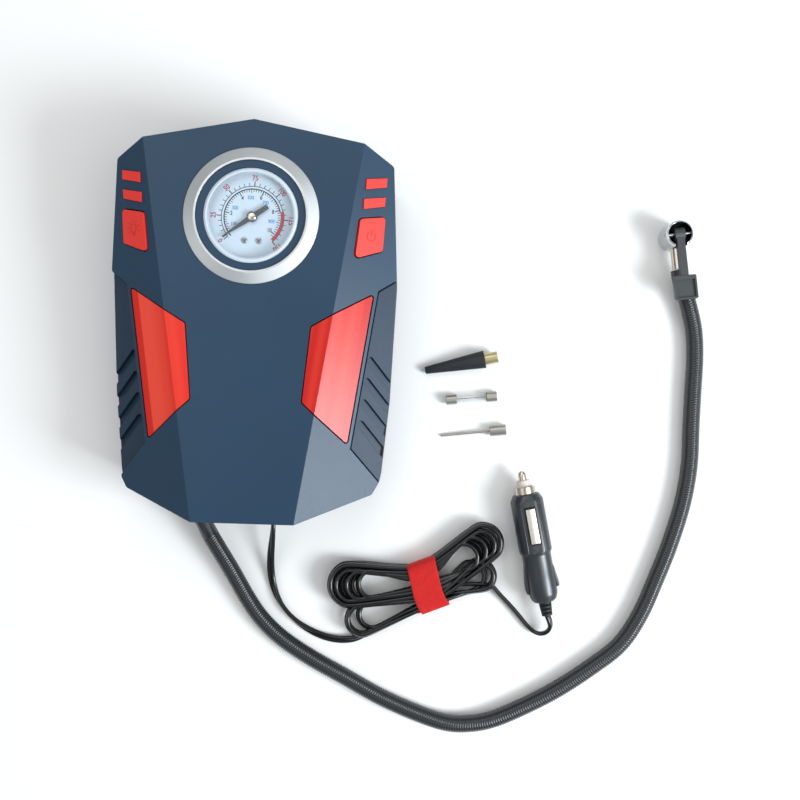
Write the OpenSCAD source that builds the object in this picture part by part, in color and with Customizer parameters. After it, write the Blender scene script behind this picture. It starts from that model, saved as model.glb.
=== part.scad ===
/* [Body] */
// Half width of the body at the wing corners
wing_half_w = 81.4; // [80:0.2:86]
// Distance from the body centre to its top apex
apex_y = 111.6; // [110:0.2:118]
// Distance from the body centre to its bottom edge
bottom_y = 112.1; // [110:0.2:118]
// Height of the flat front panel above the floor
front_z = 70; // [68:0.5:84]
// Height of the parting line between the two shells
parting_z = 40; // [38:0.5:42]
// Height of the rubber feet
foot_h = 3; // [2:0.5:5]
// Thickness of the moulded shell walls
wall = 2.4; // [2:0.1:2.8]
// Slope of the two wing faces, in degrees
slope = 30; // [26:1:31]
// Radius on the corners of the shells, seen from the front
corner_r = 2.5; // [1:0.5:3]
// How far the ribbed side panels lie below the wing faces
panel_drop = 4.5; // [3:0.5:6]
// Number of finger grooves in each side panel
groove_count = 4; // [2:1:5]
// Width of a finger groove
groove_w = 4.6; // [3:0.2:5.4]
// Distance between finger grooves along the side
groove_pitch = 12.2; // [11:0.2:14]

/* [Lamps] */
// Gap round each lamp lens
lens_gap = 0.6; // [0.4:0.1:1]
// Thickness of a lamp lens
lens_wall = 2.2; // [1.6:0.1:2.6]
// Depth of the lamp well below the body face
well_depth = 9.6; // [8:0.2:11]
// Thickness of the lamp reflector
reflector_t = 1.4; // [1:0.1:2]

/* [Buttons] */
// How far a button travels when it is pressed
button_travel = 2; // [1:0.25:3]
// Gap round each button
button_gap = 0.6; // [0.3:0.05:0.7]
// How far a button stands above the wing face
button_proud = 1.2; // [0.5:0.1:2]
// Edge length of the push switch body
switch_w = 11; // [9:0.5:12]

/* [Gauge] */
// Distance of the gauge centre above the body centre
gauge_y = 58; // [56:0.5:60]
// Outer radius of the silver gauge ring
ring_r = 37.6; // [33:0.2:42]
// Radius of the gauge glass
glass_r = 26.2; // [24:0.1:28]
// Width of the collar round the gauge glass
collar_w = 4; // [3:0.2:5]
// Length of the needle from its centre to its tip
needle_l = 20; // [16:0.5:22]
// Sweep of the gauge scale, in degrees
dial_sweep = 262; // [200:1:280]
// Direction of the needle at zero, in degrees from +X
dial_zero = 215; // [200:1:230]

/* [Pump] */
// Outer radius of the motor
motor_r = 18; // [15:0.25:19]
// Length of the motor can
motor_l = 55; // [45:1:56]
// Radius of the motor shaft
motor_shaft_r = 1.6; // [1:0.1:2.2]
// Radius of the crank shaft
crank_shaft_r = 2.5; // [2:0.1:3.2]
// Throw of the crank pin
throw = 5.5; // [4:0.25:6.5]
// Radius of the pump bore
bore_r = 8; // [7:0.1:9.6]
// Wall of the pump cylinder
cylinder_wall = 2; // [1.6:0.1:2.6]
// Gear module
gear_m = 0.9; // [0.85:0.01:0.95]
// Teeth on the motor pinion
pinion_teeth = 12; // [12:1:13]
// Teeth on the crank gear
crank_teeth = 48; // [46:1:49]
// Running clearance of a shaft, on the radius
run_fit = 0.05; // [0.02:0.01:0.1]

/* [Hose and chuck] */
// Outer radius of the air hose
hose_r = 5.2; // [4:0.1:5.6]
// Radius of the chuck head
chuck_r = 8.3; // [8:0.1:9.5]
// Radius of the valve mouth in the chuck
mouth_r = 4.2; // [4:0.05:4.4]
// Width of the lever in its slot
lever_w = 6.2; // [5:0.2:7]
// Length of the lever from its pin to the end of its thumb tab
lever_l = 40; // [36:0.5:44]
// Radius of the lever pin
pin_r = 1.3; // [1:0.1:1.8]
// Swing of the lever, in degrees
lever_swing = 85; // [60:1:90]

/* [Cord and plug] */
// Radius of the power cord
cord_r = 2; // [1.4:0.1:2.4]
// Radius of the plug barrel
plug_r = 10.1; // [9.6:0.1:10.4]
// Length of the plug from its tip to the end of its body
plug_l = 81; // [76:0.5:90]
// Travel of the sprung plug tip
tip_travel = 3; // [1:0.5:4]
// Height of the wound cord hank
hank_h = 12; // [8:0.5:16]

/* [Loose fittings] */
// Length of the tapered nozzle
nozzle_l = 38; // [30:0.5:40]
// Radius of the fuse caps
fuse_r = 3.15; // [2.5:0.05:3.2]
// Length of the spare fuse
fuse_l = 31.4; // [25:0.1:32]
// Length of the ball needle
ball_needle_l = 40.5; // [34:0.5:42]

/* [Hidden] */
$fn = 64;
eps = 0.01;
big = 400;
gap = 0.3;

// Body outline, right half: the cover with its legs, and the side of the rear case
shoulder = [61.4, 99.9];
wing_top = [wing_half_w - 3.4, 89.9];
wing_step = [wing_half_w, 27.3];
lens_tip = [69.2, 18.9];
lens_in_top = [34.4, -1.9];
lens_in_low = [30.4, -44.2];
lens_out_low = [56.5, -68.1];
leg_corner = [74.5, -89.3];
leg_foot = [70.6, -96.1];
bottom_corner = [28.6, -bottom_y];
side_mid = [wing_half_w - 2.4, -42];
side_low = [75.2, -86];

// Crease where the flat front meets a wing
crease_low = [28.6, -112.1];
crease_vec = shoulder - crease_low;
crease_turn = -atan2(crease_vec[0], crease_vec[1]);
crease_t = [-sin(crease_turn), cos(crease_turn)];
crease_n = [cos(crease_turn), sin(crease_turn)];

// Wing coordinates: across the slope, along the crease
function on_wing(p) = [
    ((p - shoulder) * crease_n) / cos(slope),
    (p - shoulder) * crease_t
];

// Buttons and trim bars, right side
button_corners = [[59.8, 58.7], [73.5, 61.4], [72.4, 42.4], [57.4, 36.8]];
bar_one = [[62.7, 80.8], [74, 83], [73.8, 77.9], [62.5, 75.2]];
bar_two = [[61.6, 69.9], [73.4, 72.3], [73, 67.2], [61.5, 64.3]];
button_mid = on_wing([65.8, 49.8]);
board_pins = [[-5, 11.6], [5, -12]];
pin_boss_r = 1.6;
bar_proud = 0.8;
cap_depth = 4;
switch_top = 8.6;
board_top = 16;
board_t = 1.5;
stem_r = 2.2;

// Shell fixings
floor_z = foot_h + wall;
edge_chamfer = 5;
screw_spots = [[56, 91], [71, 31], [64, -86], [20, -104]];
foot_spots = [[58, 78], [60, -78]];
post_r = 4;
screw_r = 1.5;
screw_head_r = 3.1;
screw_head_h = 2;
screw_top = parting_z + 10;
gland_x = -35;
gland_turn = 22;
grommet_x = 10.5;
outlet_z = 14;
// How far the hose gland and the cord grommet stand out of the case
boss_face = 1;
gland_out = 5.2;
grommet_out = 4.9;

// Gauge levels
collar_r = glass_r + 0.2;
collar_top = front_z + 2;
cover_under = front_z - wall;
cup_floor = front_z - 10;
dial_z = front_z - 4.8;
dial_t = 0.8;
cup_wall = 1.1;
cup_r = glass_r + 0.1;
dial_r = cup_r - cup_wall - 0.1;
bourdon_r = cup_r - cup_wall - 7.2;
needle_z = dial_z + dial_t + 1.2;
needle_t = 0.6;
lens_z = front_z + 0.4;
lens_t = 1.6;
spindle_r = 0.9;
stem_z = cup_floor - 6;
barb_r = 2.4;
tube_r = 2.6;

// Pump layout: the motor and the crank lie along Y, the cylinder along X
motor_x = -16;
motor_z = floor_z + 23.2;
frame_y = -38;
frame_t = 2;
pinion_pitch_r = gear_m * pinion_teeth / 2;
crank_pitch_r = gear_m * crank_teeth / 2;
crank_x = motor_x + pinion_pitch_r + crank_pitch_r;
gear_w = 5;
gear_back_y = frame_y + frame_t + 1;
gear_front_y = gear_back_y + gear_w;
crank_pin_l = 3.7;
rod_y = gear_front_y + crank_pin_l + gap;
rod_t = 5;
rod_axis_y = rod_y + rod_t / 2;
flange_x = crank_x + crank_pitch_r + gear_m + 1.2;
flange_t = 2.5;
cylinder_l = 21;
head_x = flange_x + flange_t + cylinder_l;
head_l = 8;
piston_t = 6;
piston_x = head_x - 2 - piston_t;
seal_w = 2.4;
seal_at = (piston_t - seal_w) / 2;
seal_core_r = bore_r - 1.6;

// Routes of the cords, tubes and wires, on the axis of each
hose_route = [
    [-33.05, -116.92, 14], [-30.6, -122.4, 13.5], [-25.2, -132, 11.4], [-15.2, -149, 7.8],
    [-5, -166.6, 5.7], [4.2, -179, 5.4],
    [17, -190.6, 5.4], [35, -202, 5.4], [57, -213.5, 5.4], [79, -225, 5.4], [101, -234, 5.4],
    [119, -239.5, 5.4], [133, -240, 5.4], [148, -237, 5.4], [166, -229, 5.4],
    [187, -217.5, 5.4], [208, -203, 5.4], [226, -188, 5.4], [238, -169, 5.4],
    [247, -147, 5.4], [255, -125, 5.4], [262, -100, 5.4], [265.6, -76, 5.4],
    [266, -51, 5.4], [266.5, -29, 5.4], [267, -9, 5.4], [265.6, 8, 6], [261, 24, 7.8],
    [257, 34, 8.8], [255.4, 39, 9], [254.33, 44.9, 9]
];
lead_route = [
    [10.5, -117, 14], [10.4, -121, 13.8], [9.8, -129, 12], [8.4, -141, 7], [8.6, -154, 3],
    [13, -167, 2.6], [21, -177, 2.6], [31, -184.6, 2.6], [43, -190, 2.6], [54, -191.4, 2.8],
    [62, -190.2, 3.6], [68, -187.2, 4.8]
];
plug_lead_route = [
    [143.6, -152.6, 5], [147.6, -156.6, 4.4], [153, -162, 3.4], [160, -168.6, 2.8], [168, -175.6, 2.8],
    [176, -181, 4], [182, -181.4, 7.2], [182, -176.6, 10.2], [180.7, -173, 11], [179.8, -170.4, 11]
];
pump_tube_route = [
    [63.2, -5, 28.6], [63.2, 1, 28.8], [61, 15, 32], [48, 29, 40], [37, 42, stem_z - 6],
    [29, 54, stem_z - 1], [21, 58, stem_z], [15, 58, stem_z]
];
outlet_tube_route = [
    [-15, 58, stem_z], [-21, 58, stem_z], [-29, 54, stem_z - 1], [-38, 42, stem_z - 6],
    [-50, 24, 38], [-60, 2, 26], [-63, -28, 18], [-59, -56, 14], [-54, -68, 14], [-49, -78, 14],
    [-45.2, -87, 14], [-43.3, -91.5, 14], [-42.15, -94.4, 14]
];
supply_route = [
    [10.5, -104, 14], [14, -99, 14], [28, -95, 12], [50, -80, 11], [66, -60, 11], [70, -30, 12],
    [70, 0, 20], [66, 20, 30], [60, 36, 38], [57, 46, 43]
];
motor_wire_route = [
    [54, 43, 41], [60, 28, 30], [64, 10, 19], [67, -14, 12], [67, -34, 9], [62, -60, 8],
    [46, -80, 8], [27, -92, 14], [8, -98, 20], [-1, -100.4, 25], [-7, -100.4, 28]
];

// The stop pin's distance from the dial's centre
stop_at_r = 16.6;

// Chuck, plug and hank places
chuck_spot = [251.5, 65, 0];
chuck_turn = 8;
chuck_h = 20;
socket_z = 9;
pin_z = 16.5;
cam_r = 4;
slot_floor = 12;
ferrule_r = 3.9;
ferrule_l = 12;
tab_half_w = 6.8;
tab_l = 14.6;
plug_spot = [161, -82, plug_r + 0.9];
plug_turn = 12;
relief_l = 9;
hank_spot = [106, -153.5];
hank_turn = 16;
hank_waist_w = 27;
hank_waist_l = 22;
hank_lobes_left = [[-46, 11, 14.5], [-45, -12, 10.5]];
hank_lobes_right = [[39, 16, 12.5], [32, -3, 9.5]];
strap_t = 1.4;
strap_w = 18;
strap_turn = 6;

// ---------- helpers ----------

// A point on a smooth curve through four points
function curve(a, b, c, d, t) =
    0.5 * (2 * b + (c - a) * t + (2 * a - 5 * b + 4 * c - d) * t * t
        + (3 * b - a - 3 * c + d) * t * t * t);

// A route with extra points between its own
function smooth(route, steps) = [
    for (i = [0 : len(route) - 2])
        let (a = route[max(i - 1, 0)], d = route[min(i + 2, len(route) - 1)])
            for (k = [0 : steps - 1]) curve(a, route[i], route[i + 1], d, k / steps),
    route[len(route) - 1]
];

function unit(v) = v / norm(v);

// A round tube swept along a route that never stands upright
module swept(route, r, sides = 10, steps = 1) {
    path = smooth(route, steps);
    n = len(path);
    rings = [
        for (i = [0 : n - 1])
            let (
                tangent = unit(path[min(i + 1, n - 1)] - path[max(i - 1, 0)]),
                across = unit(cross(tangent, [0, 0, 1])),
                upward = cross(across, tangent)
            )
                for (k = [0 : sides - 1])
                    path[i] + r * (cos(360 * k / sides) * across + sin(360 * k / sides) * upward)
    ];
    faces = [
        [for (k = [0 : sides - 1]) k],
        [for (k = [sides - 1 : -1 : 0]) (n - 1) * sides + k],
        for (i = [0 : n - 2], k = [0 : sides - 1])
            [i * sides + k, (i + 1) * sides + k, (i + 1) * sides + (k + 1) % sides],
        for (i = [0 : n - 2], k = [0 : sides - 1])
            [i * sides + k, (i + 1) * sides + (k + 1) % sides, i * sides + (k + 1) % sides]
    ];
    polyhedron(rings, faces, convexity = 6);
}

// Both halves of something drawn on the right
module both_sides() {
    children();
    mirror([1, 0, 0]) children();
}

// Places its children on the right wing: X across the slope, Y along the crease, Z off the face
module wing_frame(p = [0, 0]) {
    translate([shoulder[0], shoulder[1], front_z])
        rotate([0, 0, crease_turn])
            rotate([0, slope, 0])
                translate([p[0], p[1], 0])
                    children();
}

// Everything below the front face and its two wings, lowered by drop
module under_face(drop = 0) {
    translate([0, 0, -drop])
        intersection() {
            translate([-big / 2, -big / 2, front_z - 200]) cube([big, big, 200]);
            wing_frame() translate([-big, -big, -big]) cube([2 * big, 2 * big, big]);
            mirror([1, 0, 0])
                wing_frame() translate([-big, -big, -big]) cube([2 * big, 2 * big, big]);
        }
}

// A flat shape raised from z0 to z1
module raised(z0, z1) {
    translate([0, 0, z0]) linear_extrude(z1 - z0) children();
}

// A cylinder along Y from y0 to y1
module along_y(x, z, y0, y1, r) {
    translate([x, y1, z]) rotate([90, 0, 0]) cylinder(h = y1 - y0, r = r);
}

// A cylinder along X from x0 to x1
module along_x(y, z, x0, x1, r) {
    translate([x0, y, z]) rotate([0, 90, 0]) cylinder(h = x1 - x0, r = r);
}

module rounded(r) {
    offset(r = r, $fn = 24) offset(delta = -r) children();
}

// ---------- outlines ----------

module lens_plan() {
    rounded(1.5) polygon([lens_tip, lens_in_top, lens_in_low, lens_out_low]);
}

function mirrored(points) = [for (i = [len(points) - 1 : -1 : 0]) [-points[i][0], points[i][1]]];

// A closed outline from the points of its right half, top to bottom
module symmetric(points) {
    polygon(concat([[0, apex_y]], points, mirrored(points)));
}

module cover_plan() {
    rounded(corner_r) {
        symmetric([
            shoulder, wing_top, wing_step, lens_tip, lens_in_top,
            lens_in_low, lens_out_low, leg_corner, leg_foot, bottom_corner
        ]);
        both_sides()
            offset(delta = 1.6) polygon([lens_tip, lens_in_top, lens_in_low, lens_out_low]);
    }
}

module case_plan() {
    rounded(corner_r)
        symmetric([
            shoulder, wing_top, wing_step, side_mid, side_low,
            leg_corner, leg_foot, bottom_corner
        ]);
}

module panel_plan() {
    difference() {
        intersection() {
            case_plan();
            translate([0, -90]) square([100, 117]);
        }
        offset(delta = 0.4) cover_plan();
    }
}

// ---------- shells ----------

module case_block(inset, z0, z1) {
    hull() {
        raised(z0 + edge_chamfer, z1) offset(delta = -inset) case_plan();
        raised(z0, z0 + 1) offset(delta = -inset - edge_chamfer) case_plan();
    }
}

// One finger groove: a round-ended slot running outwards and down
module groove(p) {
    wing_frame(on_wing(p))
        translate([0, 0, -panel_drop - 1.8])
            rotate([0, 0, -38]) {
                cylinder(h = 12, d = groove_w, $fn = 32);
                translate([0, -groove_w / 2, 0]) cube([30, groove_w, 12]);
            }
}

module side_panel() {
    difference() {
        intersection() {
            raised(parting_z - 1, front_z) panel_plan();
            under_face(panel_drop);
        }
        intersection() {
            raised(parting_z - 2, front_z) offset(delta = -wall) panel_plan();
            under_face(panel_drop + wall * 2);
        }
        for (i = [0 : groove_count - 1])
            groove([69.5 - i * 1.4, -19.5 - i * groove_pitch]);
    }
}

// Places its children at the hose outlet: -Y runs out along the hose
module at_gland() {
    translate([gland_x, -bottom_y, outlet_z]) rotate([0, 0, gland_turn]) children();
}

module motor_saddle(y) {
    difference() {
        translate([motor_x - motor_r, y, floor_z - 1]) cube([2 * motor_r, 3, 14]);
        along_y(motor_x, motor_z, y - 1, y + 4, motor_r + gap);
    }
}

module rear_case() {
    color("#33495a")
        difference() {
            union() {
                difference() {
                    union() {
                        case_block(0, foot_h, parting_z);
                        at_gland() along_y(0, 0, -boss_face, 14.5, hose_r + 4);
                    }
                    difference() {
                        case_block(wall, floor_z, parting_z + 1);
                        at_gland() along_y(0, 0, -boss_face, 14.5, hose_r + 4);
                    }
                }
                both_sides() side_panel();
                both_sides()
                    for (p = screw_spots)
                        translate([p[0], p[1], floor_z - 1])
                            cylinder(h = parting_z - floor_z + 1, r = post_r);
                motor_saddle(-54);
                motor_saddle(-84);
            }
            both_sides()
                for (p = screw_spots)
                    translate([p[0], p[1], 0]) {
                        cylinder(h = parting_z + 1, r = screw_r + 0.2);
                        cylinder(h = foot_h + 1 + screw_head_h, r = screw_head_r + 0.3);
                    }
            at_gland() {
                along_y(0, 0, -6, 22, hose_r + 1.6);
                // Seat for the flange where the turned gland cuts into the wall
                along_y(0, 0, -6, -boss_face, hose_r + 3.8);
            }
            along_y(grommet_x, outlet_z, -bottom_y - 5, -100, cord_r + 2);
            for (i = [0 : 6])
                translate([motor_x - 12 + i * 4, -80, 0]) cube([1.8, 30, floor_z + 1]);
        }
}

module cover_shell() {
    difference() {
        intersection() {
            raised(parting_z, front_z + 1) cover_plan();
            under_face();
        }
        intersection() {
            raised(parting_z - 1, front_z + 1) offset(delta = -wall) cover_plan();
            under_face(wall);
        }
    }
}

module lamp_well() {
    intersection() {
        raised(parting_z, front_z) offset(delta = 1.6) lens_plan();
        raised(parting_z, front_z) cover_plan();
        difference() {
            under_face();
            under_face(well_depth + 2);
        }
    }
}

module front_cover() {
    color("#365065")
        difference() {
            union() {
                cover_shell();
                both_sides() lamp_well();
                translate([0, gauge_y, front_z - 1])
                    cylinder(h = collar_top - front_z + 1, r = collar_r + collar_w);
                intersection() {
                    both_sides()
                        for (p = screw_spots)
                            translate([p[0], p[1], parting_z])
                                cylinder(h = front_z - parting_z, r = post_r);
                    under_face(1);
                }
                both_sides()
                    for (p = board_pins)
                        wing_frame(button_mid + p)
                            translate([0, 0, -board_top]) cylinder(h = board_top - 1, r = pin_boss_r);
            }
            both_sides()
                difference() {
                    raised(parting_z, front_z + 1) lens_plan();
                    under_face(well_depth);
                }
            translate([0, gauge_y, 0]) cylinder(h = big, r = collar_r);
            both_sides()
                wing_frame() {
                    raised(-8, 4)
                        offset(delta = button_gap)
                            rounded(2) polygon([for (p = button_corners) on_wing(p)]);
                    for (bar = [bar_one, bar_two])
                        raised(-8, 4) offset(delta = 0.15) polygon([for (p = bar) on_wing(p)]);
                }
            both_sides()
                for (p = screw_spots)
                    translate([p[0], p[1], parting_z - 1])
                        cylinder(h = screw_top - parting_z + 2, r = screw_r + run_fit);
        }
}

module rubber_feet() {
    color("#1d1f21")
        both_sides()
            for (p = foot_spots)
                translate([p[0], p[1], 0]) cylinder(h = foot_h, r1 = 5.4, r2 = 6);
}

module case_screws() {
    color("#8b8f92")
        both_sides()
            for (p = screw_spots)
                translate([p[0], p[1], foot_h + 1]) {
                    difference() {
                        cylinder(h = screw_head_h, r = screw_head_r);
                        translate([-2, -0.4, -1]) cube([4, 0.8, 1.8]);
                        translate([-0.4, -2, -1]) cube([0.8, 4, 1.8]);
                    }
                    cylinder(h = screw_top - foot_h - 1, r = screw_r);
                }
}

// ---------- lamps ----------

module lamp_lens() {
    difference() {
        intersection() {
            raised(parting_z, front_z) offset(delta = -lens_gap) lens_plan();
            under_face(0.5);
        }
        intersection() {
            raised(parting_z - 1, front_z) offset(delta = -lens_gap - lens_wall) lens_plan();
            under_face(0.5 + lens_wall);
        }
        under_face(well_depth - reflector_t);
    }
}

module right_lamp_lens() {
    color("#e02c28") lamp_lens();
}

module left_lamp_lens() {
    color("#e8402e") mirror([1, 0, 0]) lamp_lens();
}

module lamp_reflectors() {
    color("#d9dbdc")
        both_sides()
            difference() {
                intersection() {
                    raised(parting_z, front_z) offset(delta = -lens_gap) lens_plan();
                    under_face(well_depth - reflector_t);
                }
                under_face(well_depth);
            }
}

module lamp_boards() {
    color("#e9ead8")
        both_sides()
            translate([39.2, -22, front_z - well_depth + reflector_t])
                rotate([0, 0, -5]) {
                    translate([-3, -15, 0]) cube([6, 30, 1.2]);
                    for (i = [-1 : 1])
                        translate([0, i * 10, 1.2]) cylinder(h = 2.4, r1 = 2.2, r2 = 1.8, $fn = 32);
                }
}

module trim_bars() {
    color("#d84a42")
        both_sides()
            wing_frame() {
                for (bar = [bar_one, bar_two])
                    raised(-4, bar_proud) polygon([for (p = bar) on_wing(p)]);
                raised(-4.2, -2.7)
                    polygon([for (p = [bar_one[0], bar_one[1], bar_two[2], bar_two[3]]) on_wing(p)]);
            }
}

// ---------- buttons ----------

module button_cap() {
    wing_frame()
        difference() {
            raised(-cap_depth, button_proud)
                rounded(2) polygon([for (p = button_corners) on_wing(p)]);
            raised(-cap_depth - 1, -1.2)
                offset(delta = -2) rounded(2) polygon([for (p = button_corners) on_wing(p)]);
        }
    wing_frame(button_mid) translate([0, 0, -switch_top - 2]) cylinder(h = switch_top + 1.5, r = stem_r);
}

module power_button() {
    color("#e0443a") button_cap();
}

module light_button() {
    color("#e0443a") mirror([1, 0, 0]) button_cap();
}

module push_switches() {
    color("#26282b")
        both_sides()
            wing_frame(button_mid)
                difference() {
                    translate([-switch_w / 2, -switch_w / 2, -board_top])
                        cube([switch_w, switch_w, board_top - switch_top]);
                    translate([0, 0, -switch_top - 3 - button_travel])
                        cylinder(h = 10, r = stem_r + gap);
                }
}

module switch_boards() {
    color("#2f6b45")
        both_sides()
            wing_frame(button_mid)
                translate([-8, -14.5, -board_top - board_t]) cube([16, 29, board_t]);
}

// ---------- gauge ----------

module gauge_ring() {
    color("#c8cece")
        translate([0, gauge_y, front_z])
            rotate_extrude($fn = 128)
                polygon([
                    [collar_r + collar_w + 0.1, 0], [ring_r, 0], [ring_r, 0.7],
                    [collar_r + collar_w + 1.2, 3], [collar_r + collar_w + 0.1, 3]
                ]);
}

module gauge_lens() {
    color("#e8f2f4", 0.35)
        translate([0, gauge_y, lens_z])
            rotate_extrude($fn = 128)
                polygon([
                    [0, 0], [glass_r, 0], [glass_r, lens_t - 0.6], [glass_r - 1.2, lens_t], [0, lens_t]
                ]);
}

module gauge_case() {
    color("#3a4146")
        translate([0, gauge_y, 0])
            difference() {
                union() {
                    translate([0, 0, cup_floor]) cylinder(h = lens_z - cup_floor, r = cup_r);
                    translate([0, 0, cover_under - 1.4]) cylinder(h = 1.4, r = cup_r + 3);
                }
                translate([0, 0, dial_z]) cylinder(h = 20, r = cup_r - cup_wall);
                translate([0, 0, cup_floor + cup_wall]) cylinder(h = 20, r = cup_r - cup_wall - 2);
                translate([0, 0, cup_floor - 1]) cylinder(h = 4, r = 3.4);
            }
}

module gauge_dial() {
    color("#d4e2ef")
        translate([0, gauge_y, dial_z]) {
            difference() {
                cylinder(h = dial_t, r = dial_r);
                translate([0, 0, -1]) cylinder(h = 3, r = spindle_r + 0.5);
                for (x = [-4, 4])
                    translate([x, -13, -1]) cylinder(h = 3, r = 0.9);
            }
            rotate([0, 0, dial_zero + 6])
                translate([stop_at_r, 0, dial_t - 0.2]) cylinder(h = 2, r = 0.6);
        }
}

module dial_screws() {
    color("#c9ccd0")
        for (x = [-4, 4])
            translate([x, gauge_y - 13, dial_z + dial_t]) {
                difference() {
                    cylinder(h = 0.7, r = 1.6);
                    translate([-1.2, -0.2, 0.3]) cube([2.4, 0.4, 1]);
                    translate([-0.2, -1.2, 0.3]) cube([0.4, 2.4, 1]);
                }
                translate([0, 0, -2.4]) cylinder(h = 2.5, r = 0.8);
            }
}

module gauge_needle() {
    color("#3a3f42")
        translate([0, gauge_y, 0]) {
            translate([0, 0, cup_floor + 2]) cylinder(h = needle_z - cup_floor - 1.9, r = spindle_r);
            translate([0, 0, needle_z - 0.4]) cylinder(h = 1.5, r = 2.9);
            rotate([0, 0, dial_zero])
                raised(needle_z, needle_z + needle_t)
                    polygon([
                        [-10.5, -1.3], [-10.5, 1.3], [0, 1.6],
                        [needle_l, 0.2], [needle_l, -0.2], [0, -1.6]
                    ]);
        }
}

module gauge_movement() {
    color("#c2a75c")
        translate([0, gauge_y, cup_floor + cup_wall])
            difference() {
                union() {
                    cylinder(h = 2.7, r = 4);
                    translate([-6, -14.5, 0]) cube([12, 11, 2.7]);
                }
                translate([0, 0, -1]) cylinder(h = 6, r = spindle_r + run_fit);
                for (x = [-4, 4])
                    translate([x, -13, -1]) cylinder(h = 6, r = 0.85);
            }
}

module bourdon_tube() {
    color("#b5893f")
        translate([0, gauge_y, cup_floor + cup_wall + 1.7])
            rotate([0, 0, -56])
                rotate_extrude(angle = 264)
                    translate([bourdon_r, 0]) circle(r = 1.6, $fn = 24);
}

module gauge_stem() {
    color("#c2a75c") {
        translate([0, gauge_y, stem_z - 5]) cylinder(h = cup_floor - stem_z + 5 + cup_wall - 0.1, r = 3.3);
        translate([0, gauge_y, stem_z - 5]) cylinder(h = 10, r = 5);
        along_x(gauge_y, stem_z, -15, 15, barb_r);
    }
}

// ---------- pump ----------

module motor_can() {
    color("#a9adb0")
        difference() {
            along_y(motor_x, motor_z, frame_y - motor_l, frame_y, motor_r);
            along_y(motor_x, motor_z, frame_y - motor_l - 1, frame_y - 2, motor_r - 1.5);
            along_y(motor_x, motor_z, frame_y - 3, frame_y + 1, motor_shaft_r + run_fit);
        }
}

module motor_rotor() {
    color("#7d5a3a") {
        along_y(motor_x, motor_z, frame_y - motor_l - 1, gear_front_y + 0.5, motor_shaft_r);
        along_y(motor_x, motor_z, frame_y - motor_l + 8, frame_y - 6, motor_r - 5);
    }
}

module motor_end_cap() {
    color("#202224")
        difference() {
            union() {
                along_y(motor_x, motor_z, frame_y - motor_l - 2, frame_y - motor_l, motor_r);
                for (s = [-1, 1])
                    translate([motor_x + s * 9 - 2, frame_y - motor_l - 6, motor_z - 0.4])
                        cube([4, 5, 0.8]);
            }
            along_y(motor_x, motor_z, frame_y - motor_l - 9, frame_y, motor_shaft_r + run_fit);
        }
}

function involute(base, t) = [
    base * (cos(t) + t * PI / 180 * sin(t)),
    base * (sin(t) - t * PI / 180 * cos(t))
];
function turned(p, a) = [p[0] * cos(a) - p[1] * sin(a), p[0] * sin(a) + p[1] * cos(a)];

// A spur gear outline with involute flanks, slightly thin for running
module gear_outline(teeth, m) {
    pitch = teeth * m / 2;
    base = pitch * cos(20);
    tip = pitch + 0.8 * m;
    root = pitch - 1.15 * m;
    t_pitch = sqrt(pow(pitch / base, 2) - 1) * 180 / PI;
    t_tip = sqrt(pow(tip / base, 2) - 1) * 180 / PI;
    at_pitch = involute(base, t_pitch);
    half = 90 / teeth * 0.9 + atan2(at_pitch[1], at_pitch[0]);
    points = [
        for (i = [0 : teeth - 1]) let (a = i * 360 / teeth) each [
            turned([min(root, base), 0], a - half - 0.5),
            for (k = [0 : 3]) turned(involute(max(base, root), k * t_tip / 3), a - half),
            for (k = [3 : -1 : 0])
                let (q = involute(max(base, root), k * t_tip / 3)) turned([q[0], -q[1]], a + half),
            turned([min(root, base), 0], a + half + 0.5)
        ]
    ];
    polygon(points);
}

module drive_pinion() {
    color("#c2a75c")
        translate([motor_x, gear_front_y, motor_z])
            rotate([90, 0, 0])
                difference() {
                    linear_extrude(gear_w) rotate(180 / pinion_teeth) gear_outline(pinion_teeth, gear_m);
                    translate([0, 0, -1]) cylinder(h = gear_w + 2, r = motor_shaft_r);
                }
}

module crank_gear() {
    color("#e3e0d2") {
        translate([crank_x, gear_front_y, motor_z])
            rotate([90, 0, 0])
                difference() {
                    linear_extrude(gear_w) rotate(180) gear_outline(crank_teeth, gear_m);
                    translate([0, 0, -1]) cylinder(h = gear_w + 2, r = crank_shaft_r);
                    for (i = [1 : 3])
                        rotate([0, 0, i * 90])
                            translate([crank_pitch_r * 0.6, 0, -1]) cylinder(h = gear_w + 2, r = 4);
                }
        along_y(crank_x + throw, motor_z, gear_front_y - 0.1, gear_front_y + crank_pin_l, 1.75);
    }
}

module crank_shaft() {
    color("#b9bcbf") along_y(crank_x, motor_z, frame_y - 5, gear_front_y, crank_shaft_r);
}

module crank_bush() {
    color("#b5893f")
        difference() {
            along_y(crank_x, motor_z, frame_y - 4, frame_y + frame_t, crank_shaft_r + 2);
            along_y(crank_x, motor_z, frame_y - 5, frame_y + frame_t + 1, crank_shaft_r + run_fit);
        }
}

module pump_frame() {
    color("#9a9ea1")
        difference() {
            union() {
                translate([motor_x - motor_r, frame_y, floor_z])
                    cube([flange_x + flange_t - motor_x + motor_r, frame_t, 42]);
                translate([flange_x, frame_y, floor_z]) cube([flange_t, 29, 42]);
            }
            along_y(motor_x, motor_z, frame_y - 1, frame_y + 9, motor_shaft_r + 2);
            along_y(crank_x, motor_z, frame_y - 1, frame_y + 9, crank_shaft_r + 2);
            along_x(rod_axis_y, motor_z, flange_x - 1, flange_x + 9, bore_r);
        }
}

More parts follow.
